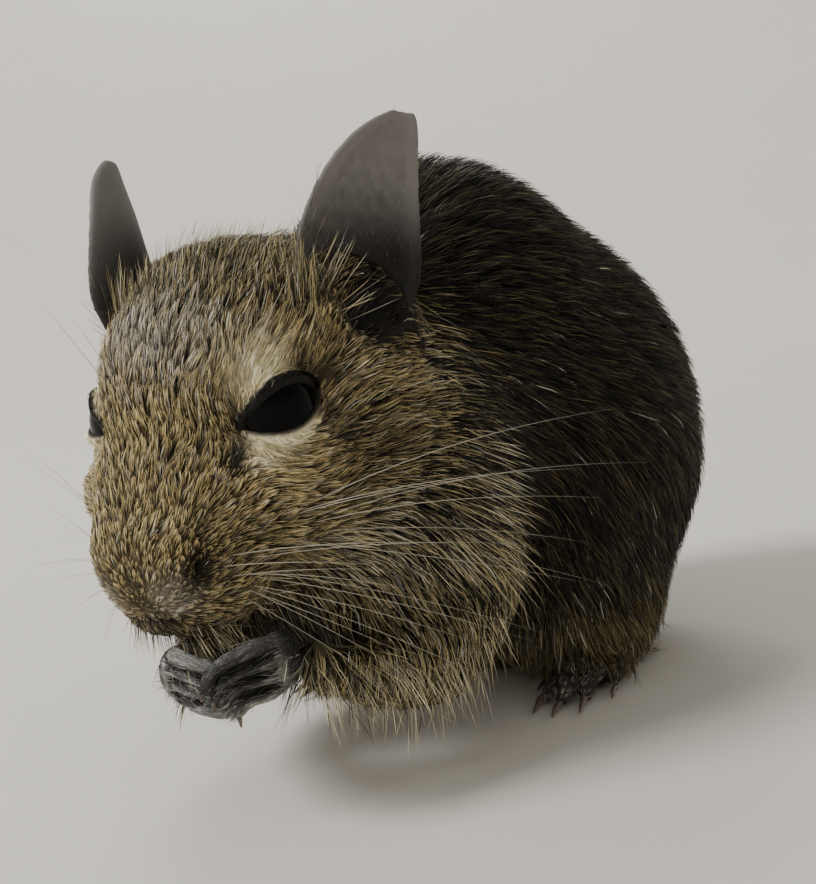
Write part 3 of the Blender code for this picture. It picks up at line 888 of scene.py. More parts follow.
# Markings of the head, mirrored on both sides: place and radii in head mm, ground, band, share of
# hairs with a band, share of silver hairs, and strength
HEAD_MARKS = (
    ((0.0, -1.0, 14.0), (9.0, 6.0, 7.0), "umber", "grizzle", 0.80, 0.35, 0.80),
    ((3.0, 10.0, 15.5), (12.0, 7.5, 8.0), "dark", "olive", 0.42, 0.04, 0.95),
    ((0.0, -17.0, 0.0), (8.5, 6.5, 6.0), "umber", "gold", 0.80, 0.05, 0.60),
    ((19.8, 1.5, -4.5), (6.0, 8.5, 9.0), "dark", "olive", 0.46, 0.04, 0.90),
    ((17.0, -6.0, -15.5), (6.0, 8.0, 6.0), "dark", "fringe", 0.60, 0.10, 0.80),
    ((0.0, 25.0, 9.0), (24.0, 10.0, 14.0), "dark", "dull_buff", 0.42, 0.02, 0.85),
    ((18.0, -14.0, -22.0), (8.0, 8.0, 9.0), "dark", "straw", 0.62, 0.08, 0.75),
    ((12.3, -0.7, 9.0), (3.9, 4.7, 3.5), "cream", "cream", 0.97, 0.0, 1.00),
    ((11.0, -5.4, 8.2), (1.5, 2.0, 2.5), "fringe", "cream", 0.94, 0.0, 0.95),
    ((16.4, -5.2, -1.6), (3.6, 4.4, 2.8), "umber", "gold", 0.88, 0.03, 0.75),
    ((12.6, -7.2, 2.6), (3.1, 2.6, 2.2), "cream", "cream", 1.00, 0.0, 1.00),
    ((15.2, -4.6, 1.4), (2.8, 3.2, 1.8), "cream", "cream", 0.95, 0.0, 0.95),
    ((15.1, 4.2, 5.4), (2.4, 2.6, 3.2), "dark", "umber", 0.35, 0.0, 0.90),
    # Painted shade along the tear groove
    ((9.6, -8.8, 2.9), (1.1, 2.1, 1.9), "deep_shade", "dark", 0.20, 0.0, 0.95),
    ((4.4, -21.4, -5.6), (2.7, 2.4, 3.0), "ash", "mist", 0.80, 0.12, 0.90),
    # Painted shade in the nostril
    ((7.0, -19.0, -3.9), (1.1, 1.6, 2.0), "deep_shade", "dark", 0.30, 0.0, 0.90),
    # Painted shade under the chin and below the mouth line
    ((2.0, -14.0, -22.5), (8.5, 5.5, 4.8), "deep_shade", "umber", 0.35, 0.0, 1.00),
    ((3.0, -14.5, -16.2), (8.5, 6.0, 3.4), "deep_shade", "dark", 0.35, 0.0, 1.00),
    # Painted shade in the ear's hollow
    ((18.1, 14.3, 5.0), (5.4, 5.4, 5.4), "deep_shade", "umber", 0.30, 0.0, 1.00),
    ((2.0, -20.6, -12.2), (6.5, 4.5, 2.8), "dark", "dull_buff", 0.60, 0.05, 0.70),
    # Painted shade along the underside of the nose
    ((1.2, -22.2, -9.0), (4.5, 2.0, 0.9), "dark", "umber", 0.30, 0.0, 0.85),
    ((10.5, -13.5, -7.5), (4.6, 4.6, 5.5), "dark", "straw", 0.62, 0.05, 0.55),
    ((19.5, 11.6, 2.9), (1.8, 2.2, 1.6), "fringe", "cream", 0.95, 0.0, 0.95),
)


def colour_of(name):
    """A colour of the palette as a linear array of red, green and blue."""
    return np.array(linear(PALETTE[name])[:3])


def coat_tone(ground, band, share, silver):
    """Ground and band colour with the shares of banded and of silver hairs, as one row of numbers."""
    return np.array((*colour_of(ground), *colour_of(band), share, silver))


def is_furred(parts):
    """True where the skin has a coat, and false on ears, hands and feet, which have down."""
    return ~of_kind(parts, "ear", "hand", "foot")


def coat_tones(points, parts, edges):
    """The coat's tone at each skin point: that of its part, the paler underside and the head's marks."""
    rows = [TONE_BY_PART.get(node) or TONE_BY_PART[node.split("_")[0]] for node in PART_NAMES]
    table = np.array([coat_tone(*row) for row in rows])
    made = spread(table[parts], edges, 20)
    furred = is_furred(parts)
    body_mm = in_body(points)
    low = smoothstep(*BELLY_HEIGHTS_MM, body_mm[:, 2]) * smoothstep(-46.0, -30.0, body_mm[:, 1]) * furred
    low = (low * ~of_kind(parts, "tail"))[:, None] * 0.8
    made = made * (1 - low) + coat_tone(*BELLY_TONE) * low
    head_mm = folded(in_head(points))
    for place, radii, ground, band, share, silver, strength in HEAD_MARKS:
        reach = np.linalg.norm((head_mm - np.array(place)) / np.array(radii), axis=1)
        there = (strength * fade(reach, 1.0, 3) * furred)[:, None]
        made = made * (1 - there) + coat_tone(ground, band, share, silver) * there
    inside, above, radius, _ = opening_depth(head_mm, 1)
    lid = (smoothstep(-1.35, -0.8, inside) * above * (radius < LID_COAT_REACH_MM) * furred)[:, None]
    return made * (1 - lid) + coat_tone(*LID_TONE) * lid


def light_fingers(rows, points, parts):
    """Lights the fingers as they shine in the photo, and gives how much each point is between two."""
    furrow = np.zeros(len(points))
    for side, _ in SIDES:
        hand = of_kind(parts, "hand_" + side)
        finger, gap, furrow[hand] = between_fingers(points[hand], side, FURROW_SHADE_MM)
        shine = np.array(FINGER_SHINE[side])[finger] * smoothstep(2.8, 1.4, gap)
        # Painted highlight on the lit fingers, and painted shade in the furrows and on the fingers that
        # shine less
        lit = (0.04 + 0.96 * shine * (1.0 - furrow[hand]) ** 2)[:, None]
        rows[hand, 0:3] += colour_of("painted_glint") * 0.42 * lit**1.6
        rows[hand, 3:6] *= 0.06 + 0.94 * lit
    return furrow


def bare_share(points, parts):
    """How bare the skin is at each point: lids, nostrils, mouth line and the ears' insides."""
    head_mm = in_head(points)
    on_head = of_kind(parts, "head")
    bare = np.zeros(len(points))
    for _, side in SIDES:
        inside, above, radius, _ = opening_depth(head_mm, side)
        edge = np.where(above, -0.5, -0.1)
        most = np.where(above & (inside < -0.2), 0.2, 1.0)
        lid = smoothstep(edge - 0.4, edge + 0.3, inside) * (radius < LID_COAT_REACH_MM)
        bare = np.maximum(bare, most * lid)
    for route, _, _, wide in GROOVES:
        bare = np.maximum(bare, fade(route_gap(head_mm, route), wide, 3) * on_head)
    bowl = 0.93 * is_furred(parts) * fade(place_gap(head_mm, EAR_BOWL_MM), EAR_BOWL_REACH_MM, 8)
    return np.clip(np.maximum(bare, bowl), 0, 1)


# Hair


class Hide:
    """The finished skin as the coat needs it: places, normals, lie, sizes and colours at its points."""

    def __init__(self, skin, settings):
        mesh = skin.data
        mesh.calc_loop_triangles()
        self.triangles = read(mesh.loop_triangles, "vertices", 3, np.int32)
        uv = read(mesh.uv_layers["OFBake"].data, "uv", 2)
        self.corner_uv = uv[read(mesh.loop_triangles, "loops", 3, np.int32)]
        self.points = points_of(mesh)
        self.edges = edges_of(mesh)
        self.normals = unit(spread(normals_of(mesh), self.edges, 2))
        self.parts = parts_of(self.points)
        self.flow = coat_flow(self.points, self.normals, self.parts, self.edges)
        self.depth = coat_depth(self.points, self.parts, self.edges)
        self.tones = coat_tones(self.points, self.parts, self.edges)
        self.furrow = light_fingers(self.tones, self.points, self.parts)
        self.bare = bare_share(self.points, self.parts)
        self.head_mm = in_head(self.points)
        self.furred = is_furred(self.parts)
        self.point_uv = np.zeros((len(self.points), 2))
        self.point_uv[self.triangles.ravel()] = self.corner_uv.reshape(-1, 2)
        self.density = settings.density
        self.tufting = settings.tufting
        self.tone_tint = np.array((*settings.tint, *settings.tint, 1.0, 1.0))
        self.tones = self.tones * self.tone_tint
        self.length_share = settings.back_length / MM / BACK_HAIR_MM
        self.sizes = self.hair_sizes()
        self.surface = BVHTree.FromPolygons(self.points.tolist(), self.triangles.tolist())

    def below(self, places):
        """The places on the skin that are nearest to others, and the number of a skin point near each."""
        find = self.surface.find_nearest
        found = [find(place) for place in places.tolist()]
        feet = np.array([hit[0] for hit in found])
        corners = self.triangles[[hit[2] for hit in found]]
        gaps = np.linalg.norm(self.points[corners] - feet[:, None], axis=2)
        return feet, corners[np.arange(len(corners)), gaps.argmin(axis=1)]

    def hair_sizes(self):
        """Length, width and number of hairs at each skin point."""
        sizes = COAT_ROWS[self.parts, 1:] * (self.length_share, 1, 1)
        head = of_kind(self.parts, "head")
        scale = head_scale(self.head_mm[head])
        sizes[head, 0] *= scale**0.6 * (0.45 + 0.55 * smoothstep(-24.0, -19.0, self.head_mm[head, 1]))
        sizes[head, 1] *= 0.8 + 0.25 * scale
        sizes[head, 2] *= 1.25 - 0.35 * np.clip(scale, 0, 1.7)
        sizes = spread(sizes, self.edges, 12)
        near = 1.0 - smoothstep(0.2, 2.8, by_opening(self.head_mm))
        by_bowl = place_gap(self.head_mm, EAR_BOWL_MM)
        by_bowl = smoothstep(EAR_BOWL_REACH_MM + 4.5, EAR_BOWL_REACH_MM, by_bowl)
        short = np.maximum(near, by_bowl)
        sizes[self.furred, 0] *= (1.0 - 0.70 * short)[self.furred]
        sizes[self.furred, 2] *= (1.0 + 0.7 * near * (1.0 - by_bowl))[self.furred]
        sizes[:, 2] *= 1.0 - 0.95 * self.furrow
        underside = smoothstep(3.0 * MM, 0.8 * MM, self.points[:, 2])
        underside *= smoothstep(-0.2, -0.7, self.normals[:, 2])
        sizes[:, 2] *= (1.0 - self.bare) * (1.0 - 0.75 * underside)
        return sizes

    def area(self):
        """Area of each skin triangle in mm2."""
        corner = self.points[self.triangles]
        cross = np.cross(corner[:, 1] - corner[:, 0], corner[:, 2] - corner[:, 0])
        return np.linalg.norm(cross, axis=1) / 2 / MM**2


def sow(hide, crop, rng):
    """Root places over the skin: triangle numbers and corner shares, by area and hairs per mm2."""
    crop = crop[hide.triangles].mean(axis=1) * hide.area()
    running = np.cumsum(crop)
    count = int(running[-1])
    spot = (np.arange(count) + rng.random(count)) / count * running[-1]
    chosen = np.minimum(np.searchsorted(running, spot), len(crop) - 1)
    first = np.sqrt(rng.random(count))
    second = rng.random(count)
    corner = np.stack([1 - first, first * (1 - second), first * second], 1)
    return chosen, corner


def between(values, corner):
    """Values at places inside triangles, from their corners' values."""
    if values.ndim == 2:
        return np.sum(values * corner, axis=1)
    return np.sum(values * corner[:, :, None], axis=1)


WAVES = (
    ((0.9, 0.3, 0.5), 0.4, 0.14),
    ((-0.4, 0.8, 0.6), 2.1, 0.12),
    ((0.5, -0.7, 1.1), 4.0, 0.10),
    ((1.9, 1.3, -0.8), 1.3, 0.08),
)


def waver(points_mm):
    """A slow change of the coat's lie over the body, as an angle."""
    return sum(size * np.sin(points_mm @ np.array(way) + phase) for way, phase, size in WAVES)


def combed(hide, root, up, way, length, height, steps):
    """Points of each hair, which leaves the skin and lies along it, and the skin point under its band."""
    spots = [root - up * 0.12 * MM]
    place = root
    for before, step in zip(steps[:-1], steps[1:]):
        share = step - before
        place = place + way * (length * share)[:, None]
        foot, number = hide.below(place)
        if step < 1.0:
            under = number
        here_up = hide.normals[number]
        gap = np.sum((place - foot) * here_up, axis=1)
        agrees = np.sum(here_up * up, axis=1) > 0.25
        wanted = height * (1 - (1 - step) ** 1.7)
        rise = np.where(agrees, wanted - gap, 0.5 * height * share)
        rise = np.clip(rise, -1.05 * share * length, 1.05 * share * length)
        lift = np.where(agrees[:, None], here_up, up)
        place = place + lift * rise[:, None]
        turned = hide.flow[number] * 0.5 + way
        turned -= lift * np.sum(turned * lift, axis=1, keepdims=True)
        way = unit(turned)
        spots.append(place)
    return np.stack(spots, 1), under


def gathered(spots, steps, share, per_tuft, rng):
    """Draws hairs together towards a near one, into small tufts, and gives that one's number."""
    count = len(spots)
    leaders = rng.permutation(count)[: max(1, count // per_tuft)]
    tree = tree_of(spots[leaders, 0])
    leader = leaders[nearest(tree, spots[:, 0])]
    part = np.array(steps)[None, :, None] ** 1.4
    pull = (share * (0.5 + rng.random(count)))[:, None, None]
    return spots + (spots[leader] - spots) * part * np.clip(pull, 0, 0.9), leader


# Darkest and palest hair beside the tone itself
HAIR_SHADES = (0.5, 1.4)


def hair_tints(tone, steps, rng, black_tips):
    """Colours along each hair: a dark foot, a pale band on some, and a dark tip on many."""
    count = len(tone)
    ground = tone[:, 0:3]
    band = tone[:, 3:6]
    banded = (rng.random(count) < tone[:, 6])[:, None]
    silver = (rng.random(count) < tone[:, 7])[:, None]
    shade = HAIR_SHADES[0] + (HAIR_SHADES[1] - HAIR_SHADES[0]) * rng.random(count)[:, None]
    warm = 1.0 + 0.05 * rng.standard_normal((count, 1)) * np.array((1.0, 0.0, -1.0))
    middle = np.where(banded, band, ground)
    middle = np.where(silver, colour_of("silver"), middle)
    black_tip = (rng.random(count) < black_tips)[:, None] & ~silver
    made = []
    for part in steps:
        foot = 1.0 - float(smoothstep(0.25, 0.8, part))
        colour = ground * (0.45 + 0.5 * ground) * foot + middle * (1 - foot)
        if part > 0.95:
            colour = np.where(black_tip, ground * 0.6, colour)
        made.append(colour * shade * warm)
    return np.clip(np.stack(made, 1), 0, 1)


def hair_mesh(name, spots, side, width, tints, root_uv):
    """One mesh of flat tapered hairs, with a colour along each and a small bake patch at its root."""
    count, knots, _ = spots.shape
    segments = knots - 1
    taper = np.append(1.0 - 0.45 * np.linspace(0, 1, segments) ** 2, 0.0)
    offset = side[:, None, :] * (width[:, None] * taper[None, :] / 2)[:, :, None]
    per_hair = 2 * segments + 1
    points = np.empty((count, per_hair, 3))
    points[:, 0:-1:2] = (spots - offset)[:, :-1]
    points[:, 1::2] = (spots + offset)[:, :-1]
    points[:, -1] = spots[:, -1]
    colours = np.ones((count, per_hair, 4))
    colours[:, 0:-1:2, :3] = tints[:, :-1]
    colours[:, 1::2, :3] = tints[:, :-1]
    colours[:, -1, :3] = tints[:, -1]
    patch = np.empty((per_hair, 2))
    along = (np.linspace(0, 1, knots) - 0.5) * PATCH
    patch[0:-1:2] = np.stack([np.full(segments, -PATCH / 2), along[:-1]], 1)
    patch[1::2] = np.stack([np.full(segments, PATCH / 2), along[:-1]], 1)
    patch[-1] = (0.0, along[-1])
    corners = []
    starts = []
    for step in range(segments - 1):
        starts.append(len(corners))
        corners += [2 * step, 2 * step + 1, 2 * step + 3, 2 * step + 2]
    starts.append(len(corners))
    corners += [2 * segments - 2, 2 * segments - 1, 2 * segments]
    corners = np.array(corners)
    starts = np.array(starts)
    mesh = bpy.data.meshes.new(name)
    mesh.vertices.add(count * per_hair)
    write(mesh.vertices, "co", points)
    mesh.loops.add(count * len(corners))
    hair = np.arange(count)[:, None]
    write(mesh.loops, "vertex_index", hair * per_hair + corners, np.int32)
    mesh.polygons.add(count * len(starts))
    write(mesh.polygons, "loop_start", hair * len(corners) + starts, np.int32)
    mesh.update(calc_edges=True)
    write(mesh.color_attributes.new("coat_colour", "FLOAT_COLOR", "POINT").data, "color", colours)
    write(mesh.uv_layers.new(name="OFBake").data, "uv", root_uv[:, None, :] + patch[None, corners])
    return placed(name, mesh)


PATCH = 0.003
PIECE_TRIANGLES = 190000
FLOOR_CLEARANCE_MM = 0.15


def sown(hide, crop, rng):
    """Places, frames, sizes and bake places of new hairs, with the crop in hairs per mm2 of skin."""
    chosen, corner = sow(hide, crop * hide.density, rng)
    triangle = hide.triangles[chosen]
    root = between(hide.points[triangle], corner)
    up = unit(between(hide.normals[triangle], corner))
    way = unit(between(hide.flow[triangle], corner))
    numbers = triangle[np.arange(len(chosen)), corner.argmax(axis=1)]
    return root, up, way, numbers, between(hide.corner_uv[chosen], corner)


def laid(root, up, way, rng, spread_angle=0.17):
    """The lie of each hair, turned a little from that of the coat."""
    turn = waver(root / MM) + spread_angle * rng.standard_normal(len(root))
    across = np.cross(way, up)
    way = way * np.cos(turn)[:, None] + across * np.sin(turn)[:, None]
    way -= up * np.sum(way * up, axis=1, keepdims=True)
    return unit(way)


def keep_hair(name, spots, up, way, width, tints, root_uv, rng):
    """Makes the pieces of a head of hair, each small enough to be kept whole."""
    spots[..., 2] = np.maximum(spots[..., 2], FLOOR_CLEARANCE_MM * MM)
    roll = 0.5 * rng.standard_normal(len(spots))
    side = np.cross(way, up) * np.cos(roll)[:, None] + up * np.sin(roll)[:, None]
    count = len(spots)
    per_hair = 2 * (spots.shape[1] - 1) - 1
    pieces = math.ceil(count * per_hair / PIECE_TRIANGLES)
    for number in range(pieces):
        part = slice(number * count // pieces, (number + 1) * count // pieces)
        title = f"{name}_{number + 1}" if pieces > 1 else name
        piece = hair_mesh(title, spots[part], side[part], width[part], tints[part], root_uv[part])
        piece.data.materials.append(finish("hair"))
        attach(piece, BODY)


def grow_coat(hide, name, share, steps, seed, tuft, gather, black_tips):
    """Hair over part of the skin, lying along it."""
    rng = np.random.default_rng(seed)
    root, up, way, numbers, root_uv = sown(hide, hide.sizes[:, 2] * share, rng)
    count = len(root)
    way = laid(root, up, way, rng)
    sizes = hide.sizes[numbers]
    length = sizes[:, 0] * (0.65 + 0.6 * rng.random(count)) * MM
    height = hide.depth[numbers] * (0.55 + 0.6 * rng.random(count) ** 1.2) * MM
    height = np.minimum(height, 0.75 * length)
    spots, under = combed(hide, root, up, way, length, height, steps)
    spots, leader = gathered(spots, steps, gather * hide.tufting, tuft, rng)
    under = np.where(hide.furred[under] == hide.furred[numbers], under, numbers)
    width = sizes[:, 1] * (0.75 + 0.5 * rng.random(count)) * MM
    tuft_shade = (0.66 + 0.68 * rng.random(count))[leader][:, None, None]
    tints = np.minimum(hair_tints(hide.tones[under], steps, rng, black_tips) * tuft_shade, 1.0)
    keep_hair(name, spots, up, way, width, tints, root_uv, rng)


# Long hairs that stand out of the coat, mirrored on both sides: place and reach in head mm,
# their way on the head with its share over the coat's own lie, lift, length, width, hairs per mm2
FRINGES = {
    "crown": ((4.0, 10.0, 16.0), 9.0, (0.1, 0.6, 0.8), 0.5, 0.5, 4.8, 0.09, 1.8, "umber", "straw"),
    "ear_front": ((13.4, 6.8, 9.4), 2.4, (-0.1, 0.45, 0.9), 0.95, 0.1, 7.5, 0.10, 9.0, "umber", "straw"),
    "ear_rim_high": ((14.4, 9.6, 9.0), 1.8, (0.5, 0.7, 0.6), 0.95, 0.1, 8.0, 0.09, 3.2, "dark", "fringe"),
    "ear_rim_low": ((16.2, 8.8, 6.8), 1.9, (0.85, 0.65, 0.12), 0.95, 0.1, 7.5, 0.09, 3.2, "dark", "fringe"),
    "ear_root": ((19.4, 11.4, 3.0), 1.8, (0.4, 0.8, 0.1), 0.8, 0.1, 2.2, 0.12, 12.0, "fringe", "cream"),
    "lip": ((3.6, -20.4, -12.8), 3.4, (0.1, -0.5, -0.85), 0.8, 0.1, 3.4, 0.09, 4.0, "umber", "fringe"),
    "chin": ((0.6, -19.6, -13.8), 2.0, (-0.3, -0.6, -0.8), 0.8, 0.1, 3.6, 0.10, 4.5, "umber", "fringe"),
    "cheek": ((17.0, 0.0, -16.0), 9.0, (0.25, 0.1, -0.9), 0.5, 0.25, 7.0, 0.10, 2.4, "dark", "fringe"),
    "throat": ((15.0, -11.0, -18.0), 8.0, (0.3, -0.1, -0.85), 0.4, 0.12, 6.0, 0.10, 3.4, "dark", "fringe"),
    "ruff_low": ((21.5, -4.7, -23.3), 9.0, (0.4, 0.2, -0.7), 0.3, 0.12, 6.5, 0.11, 2.4, "dark", "fringe"),
    "ruff": ((26.0, 5.8, -17.5), 9.0, (0.6, 0.5, -0.5), 0.4, 0.25, 8.0, 0.11, 1.8, "dark", "fringe"),
    "ruff_high": ((28.0, 14.0, -5.0), 9.0, (0.4, 0.9, 0.0), 0.3, 0.25, 7.5, 0.11, 1.2, "dark", "straw"),
}
FRINGE_STEPS = (0.0, 0.3, 0.6, 0.85, 1.0)


def grow_fringes(hide, seed):
    """The long hairs of FRINGES, each bent a little back towards the coat's lie."""
    rng = np.random.default_rng(seed)
    strands = []
    for place, reach, way_mm, share, lift, length, width, crop, ground, band in FRINGES.values():
        for _, side in SIDES:
            gap = np.linalg.norm(hide.head_mm - mirrored(place, side), axis=1)
            here = crop * fade(gap, reach, 4) * (1.0 - hide.bare)
            root, up, lie, numbers, root_uv = sown(hide, here, rng)
            count = len(root)
            aim = unit(mirrored(way_mm, side)) @ HEAD_AXES.T
            way = lie * (1 - share) + aim * share + up * lift + 0.12 * rng.standard_normal((count, 3))
            way = unit(way)
            reach_out = (length * hide.length_share * (0.55 + 0.6 * rng.random(count)) * MM)[:, None, None]
            steps = np.array(FRINGE_STEPS)[None, :, None]
            bend = (lie * 0.35 - np.array((0, 0, 0.25)))[:, None, :]
            spots = root[:, None, :] + reach_out * (way[:, None, :] * steps + bend * steps**2 * 0.6)
            tone = np.tile(coat_tone(ground, band, 0.85, 0.12), (count, 1))
            tints = hair_tints(tone * hide.tone_tint, FRINGE_STEPS, rng, 0.25)
            thick = width * (0.7 + 0.6 * rng.random(count)) * MM
            strands.append((spots, up, way, thick, tints, root_uv))
    spots, up, way, width, tints, root_uv = (np.concatenate(part) for part in zip(*strands))
    keep_hair("coat_fringe", spots, up, way, width, tints, root_uv, rng)


# Rows of whiskers on each side, from the top: height on the muzzle, then way out, back and up for the row
WHISKER_ROWS = (
    (-4.2, (0.80, 0.42, 0.10)),
    (-6.6, (0.84, 0.46, -0.12)),
    (-9.0, (0.82, 0.42, -0.36)),
    (-11.2, (0.74, 0.32, -0.60)),
)
WHISKER_COLUMNS = 5
# Where the rows begin beside the nose, and how far they run back, in x and y of the head
WHISKER_FRONT_MM = np.array((13.0, -19.0))
WHISKER_ROW_MM = np.array((0.0, 8.0))
BROW_WHISKERS = (
    ((11.6, -4.2, 10.6), (0.45, 0.25, 0.85), 0.42),
    ((12.6, -1.4, 11.0), (0.55, 0.45, 0.70), 0.34),
)
WHISKER_KNOTS = 12
WHISKER_SIDES = 5


def whisker_routes(hide, length, rng):
    """Bent routes of all whiskers with their shares of the full length, and their skin points."""
    plans = []
    for height, way in WHISKER_ROWS:
        for column in range(WHISKER_COLUMNS):
            back = column / (WHISKER_COLUMNS - 1)
            place = (*(WHISKER_FRONT_MM + back * WHISKER_ROW_MM), height - 0.8 * back)
            turned = (way[0], way[1] - 0.35 + 0.5 * back, way[2])
            plans.append((place, turned, 0.45 + 0.55 * back))
    plans.extend(BROW_WHISKERS)
    routes = []
    shares = []
    roots = []
    face = np.flatnonzero(of_kind(hide.parts, "head"))
    face_tree = tree_of(hide.points[face])
    part = np.linspace(0, 1, WHISKER_KNOTS)[:, None]
    for place, way, share in plans:
        for _, side in SIDES:
            nearby = from_head(mirrored(place, side))
            root = face[nearest(face_tree, nearby[None])[0]]
            aim = mirrored(way, side) + 0.07 * rng.standard_normal(3)
            aim = unit(aim) @ HEAD_AXES.T
            bend = np.array((0.0, 0.10, -0.16)) * (0.6 + 0.8 * rng.random())
            full = length * share * (0.85 + 0.25 * rng.random())
            start = hide.points[root] - hide.normals[root] * 0.3 * MM
            routes.append(start + full * (aim * part + bend * part**2))
            shares.append(0.65 + 0.35 * share)
            roots.append(root)
    return np.array(routes), np.array(shares), np.array(roots)


def grow_whiskers(hide, length, thickness, seed):
    """Tapered round whiskers on the muzzle and brows, as one mesh."""
    rng = np.random.default_rng(seed)
    routes, shares, roots = whisker_routes(hide, length, rng)
    count, knots, _ = routes.shape
    ahead = unit(np.gradient(routes, axis=1))
    side = unit(np.cross(ahead, np.array((0.0, 0.0, 1.0))))
    over = np.cross(side, ahead)
    taper = 1.0 - 0.93 * np.linspace(0, 1, knots) ** 1.3
    radius = (shares[:, None] * taper * thickness / 2)[:, :, None, None]
    angle = np.linspace(0, 2 * math.pi, WHISKER_SIDES, endpoint=False)[:, None]
    ring = side[:, :, None] * np.cos(angle) + over[:, :, None] * np.sin(angle)
    points = (routes[:, :, None] + ring * radius).reshape(-1, 3)
    faces = []
    for hair in range(count):
        for knot in range(knots - 1):
            low = (hair * knots + knot) * WHISKER_SIDES
            for step in range(WHISKER_SIDES):
                after = (step + 1) % WHISKER_SIDES
                high = low + WHISKER_SIDES
                faces.append((low + step, low + after, high + after, high + step))
    mesh = bpy.data.meshes.new("whiskers")
    mesh.from_pydata(points.tolist(), [], faces)
    mesh.shade_smooth()
    owner = np.repeat(np.arange(count), (knots - 1) * WHISKER_SIDES * 4)
    around = np.tile(np.array(((-1, -1), (1, -1), (1, 1), (-1, 1))) * PATCH / 2, (len(faces), 1))
    write(mesh.uv_layers.new(name="OFBake").data, "uv", hide.point_uv[roots][owner] + around)
    obj = placed("whiskers", mesh)
    obj.data.materials.append(finish("whisker"))
    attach(obj, BODY)


# Materials


def add_node(material, kind, place, values=(), links=()):
    """Adds a shader node with its settings and input values, and links its inputs."""
    tree = material.node_tree
    node = tree.nodes.new(kind)
    node.location = place
    for name, value in dict(values).items():
        if name in node.inputs:
            node.inputs[name].default_value = value
        else:
            setattr(node, name, value)
    for name, socket in dict(links).items():
        tree.links.new(socket, node.inputs[name])
    return node


def new_material(name, **settings):
    """A material with a Principled shader set to constant values."""
    material = bpy.data.materials.new(name)
    material.use_nodes = True
    shader = material.node_tree.nodes["Principled BSDF"]
    for socket, value in settings.items():
        shader.inputs[socket.replace("_", " ")].default_value = value
    return material, shader


def hair_finish():
    """Keratin hair: the banded colour of each strand, with a soft shine along it."""
    material, shader = new_material("degu_hair", Roughness=0.5, IOR=1.45, Specular_IOR_Level=0.25)
    colour = add_node(material, "ShaderNodeAttribute", (-600, 0), {"attribute_name": "coat_colour"})
    material.node_tree.links.new(colour.outputs["Color"], shader.inputs["Base Color"])
    return material


def skin_finish():
    """Skin under and beside the coat: dull and dark, with fine wrinkles where it is bare."""
    material, shader = new_material("degu_skin", Roughness=0.72, IOR=1.45, Specular_IOR_Level=0.3)
    colour = add_node(material, "ShaderNodeAttribute", (-900, 100), {"attribute_name": "coat_colour"})
    place = add_node(material, "ShaderNodeTexCoord", (-1200, -200))
    wrinkle = add_node(
        material,
        "ShaderNodeTexVoronoi",
        (-900, -200),
        {"Scale": 1 / (0.45 * MM), "feature": "DISTANCE_TO_EDGE"},
        {"Vector": place.outputs["Object"]},
    )
    bump = add_node(
        material,
        "ShaderNodeBump",
        (-600, -200),
        {"Strength": 0.35, "Distance": 0.06 * MM},
        {"Height": wrinkle.outputs["Distance"]},
    )
    material.node_tree.links.new(colour.outputs["Color"], shader.inputs["Base Color"])
    material.node_tree.links.new(bump.outputs["Normal"], shader.inputs["Normal"])
    return material


def eye_finish():
    """The wet dark eye: almost black, and smooth enough for a soft glint."""
    colour = (*bpy.context.scene.degu_face.eye_colour, 1.0)
    material, _ = new_material(
        "degu_eye", Base_Color=colour, Roughness=0.1, IOR=1.33, Specular_IOR_Level=0.15
    )
    return material


def claw_finish():
    """Claw horn: a dull brown with a slight polish."""
    material, _ = new_material("degu_claw_horn", Base_Color=linear("#5a4c40"), Roughness=0.35, IOR=1.55)
    return material


def whisker_finish():
    """Whisker: a smooth pale bristle that catches the light."""
    colour = (*bpy.context.scene.degu_face.whisker_colour, 1.0)
    material, _ = new_material("degu_whisker", Base_Color=colour, Roughness=0.3, IOR=1.55)
    return material


MIX_COLOUR_A = 6
MIX_COLOUR_B = 7
MIX_COLOUR_RESULT = 2


def floor_finish():
    """Matt pale paper, with the faintest unevenness.

    The Mix node has inputs and an output for each kind of value, so its colour ones go by number.
    """
    colour = bpy.context.scene.degu_stage.floor_colour
    material, shader = new_material("stage_paper", Roughness=0.9, IOR=1.45)
    place = add_node(material, "ShaderNodeTexCoord", (-1100, 0))
    grain = add_node(
        material,
        "ShaderNodeTexNoise",
        (-900, 0),
        {"Scale": 1 / (60 * MM), "Detail": 3.0},
        {"Vector": place.outputs["Object"]},
    )
    tint = add_node(material, "ShaderNodeMix", (-500, 0), {"data_type": "RGBA"})
    tint.inputs[MIX_COLOUR_A].default_value = (*colour, 1.0)
    tint.inputs[MIX_COLOUR_B].default_value = (*(0.94 * channel for channel in colour), 1.0)
    material.node_tree.links.new(grain.outputs["Fac"], tint.inputs["Factor"])
    material.node_tree.links.new(tint.outputs[MIX_COLOUR_RESULT], shader.inputs["Base Color"])
    return material


FINISHES = {
    "hair": hair_finish,
    "skin": skin_finish,
    "eye": eye_finish,
    "claw": claw_finish,
    "whisker": whisker_finish,
    "floor": floor_finish,
}
made_finishes = {}


def finish(name):
    """The material of that name, made once."""
    if name not in made_finishes:
        made_finishes[name] = FINISHES[name]()
    return made_finishes[name]


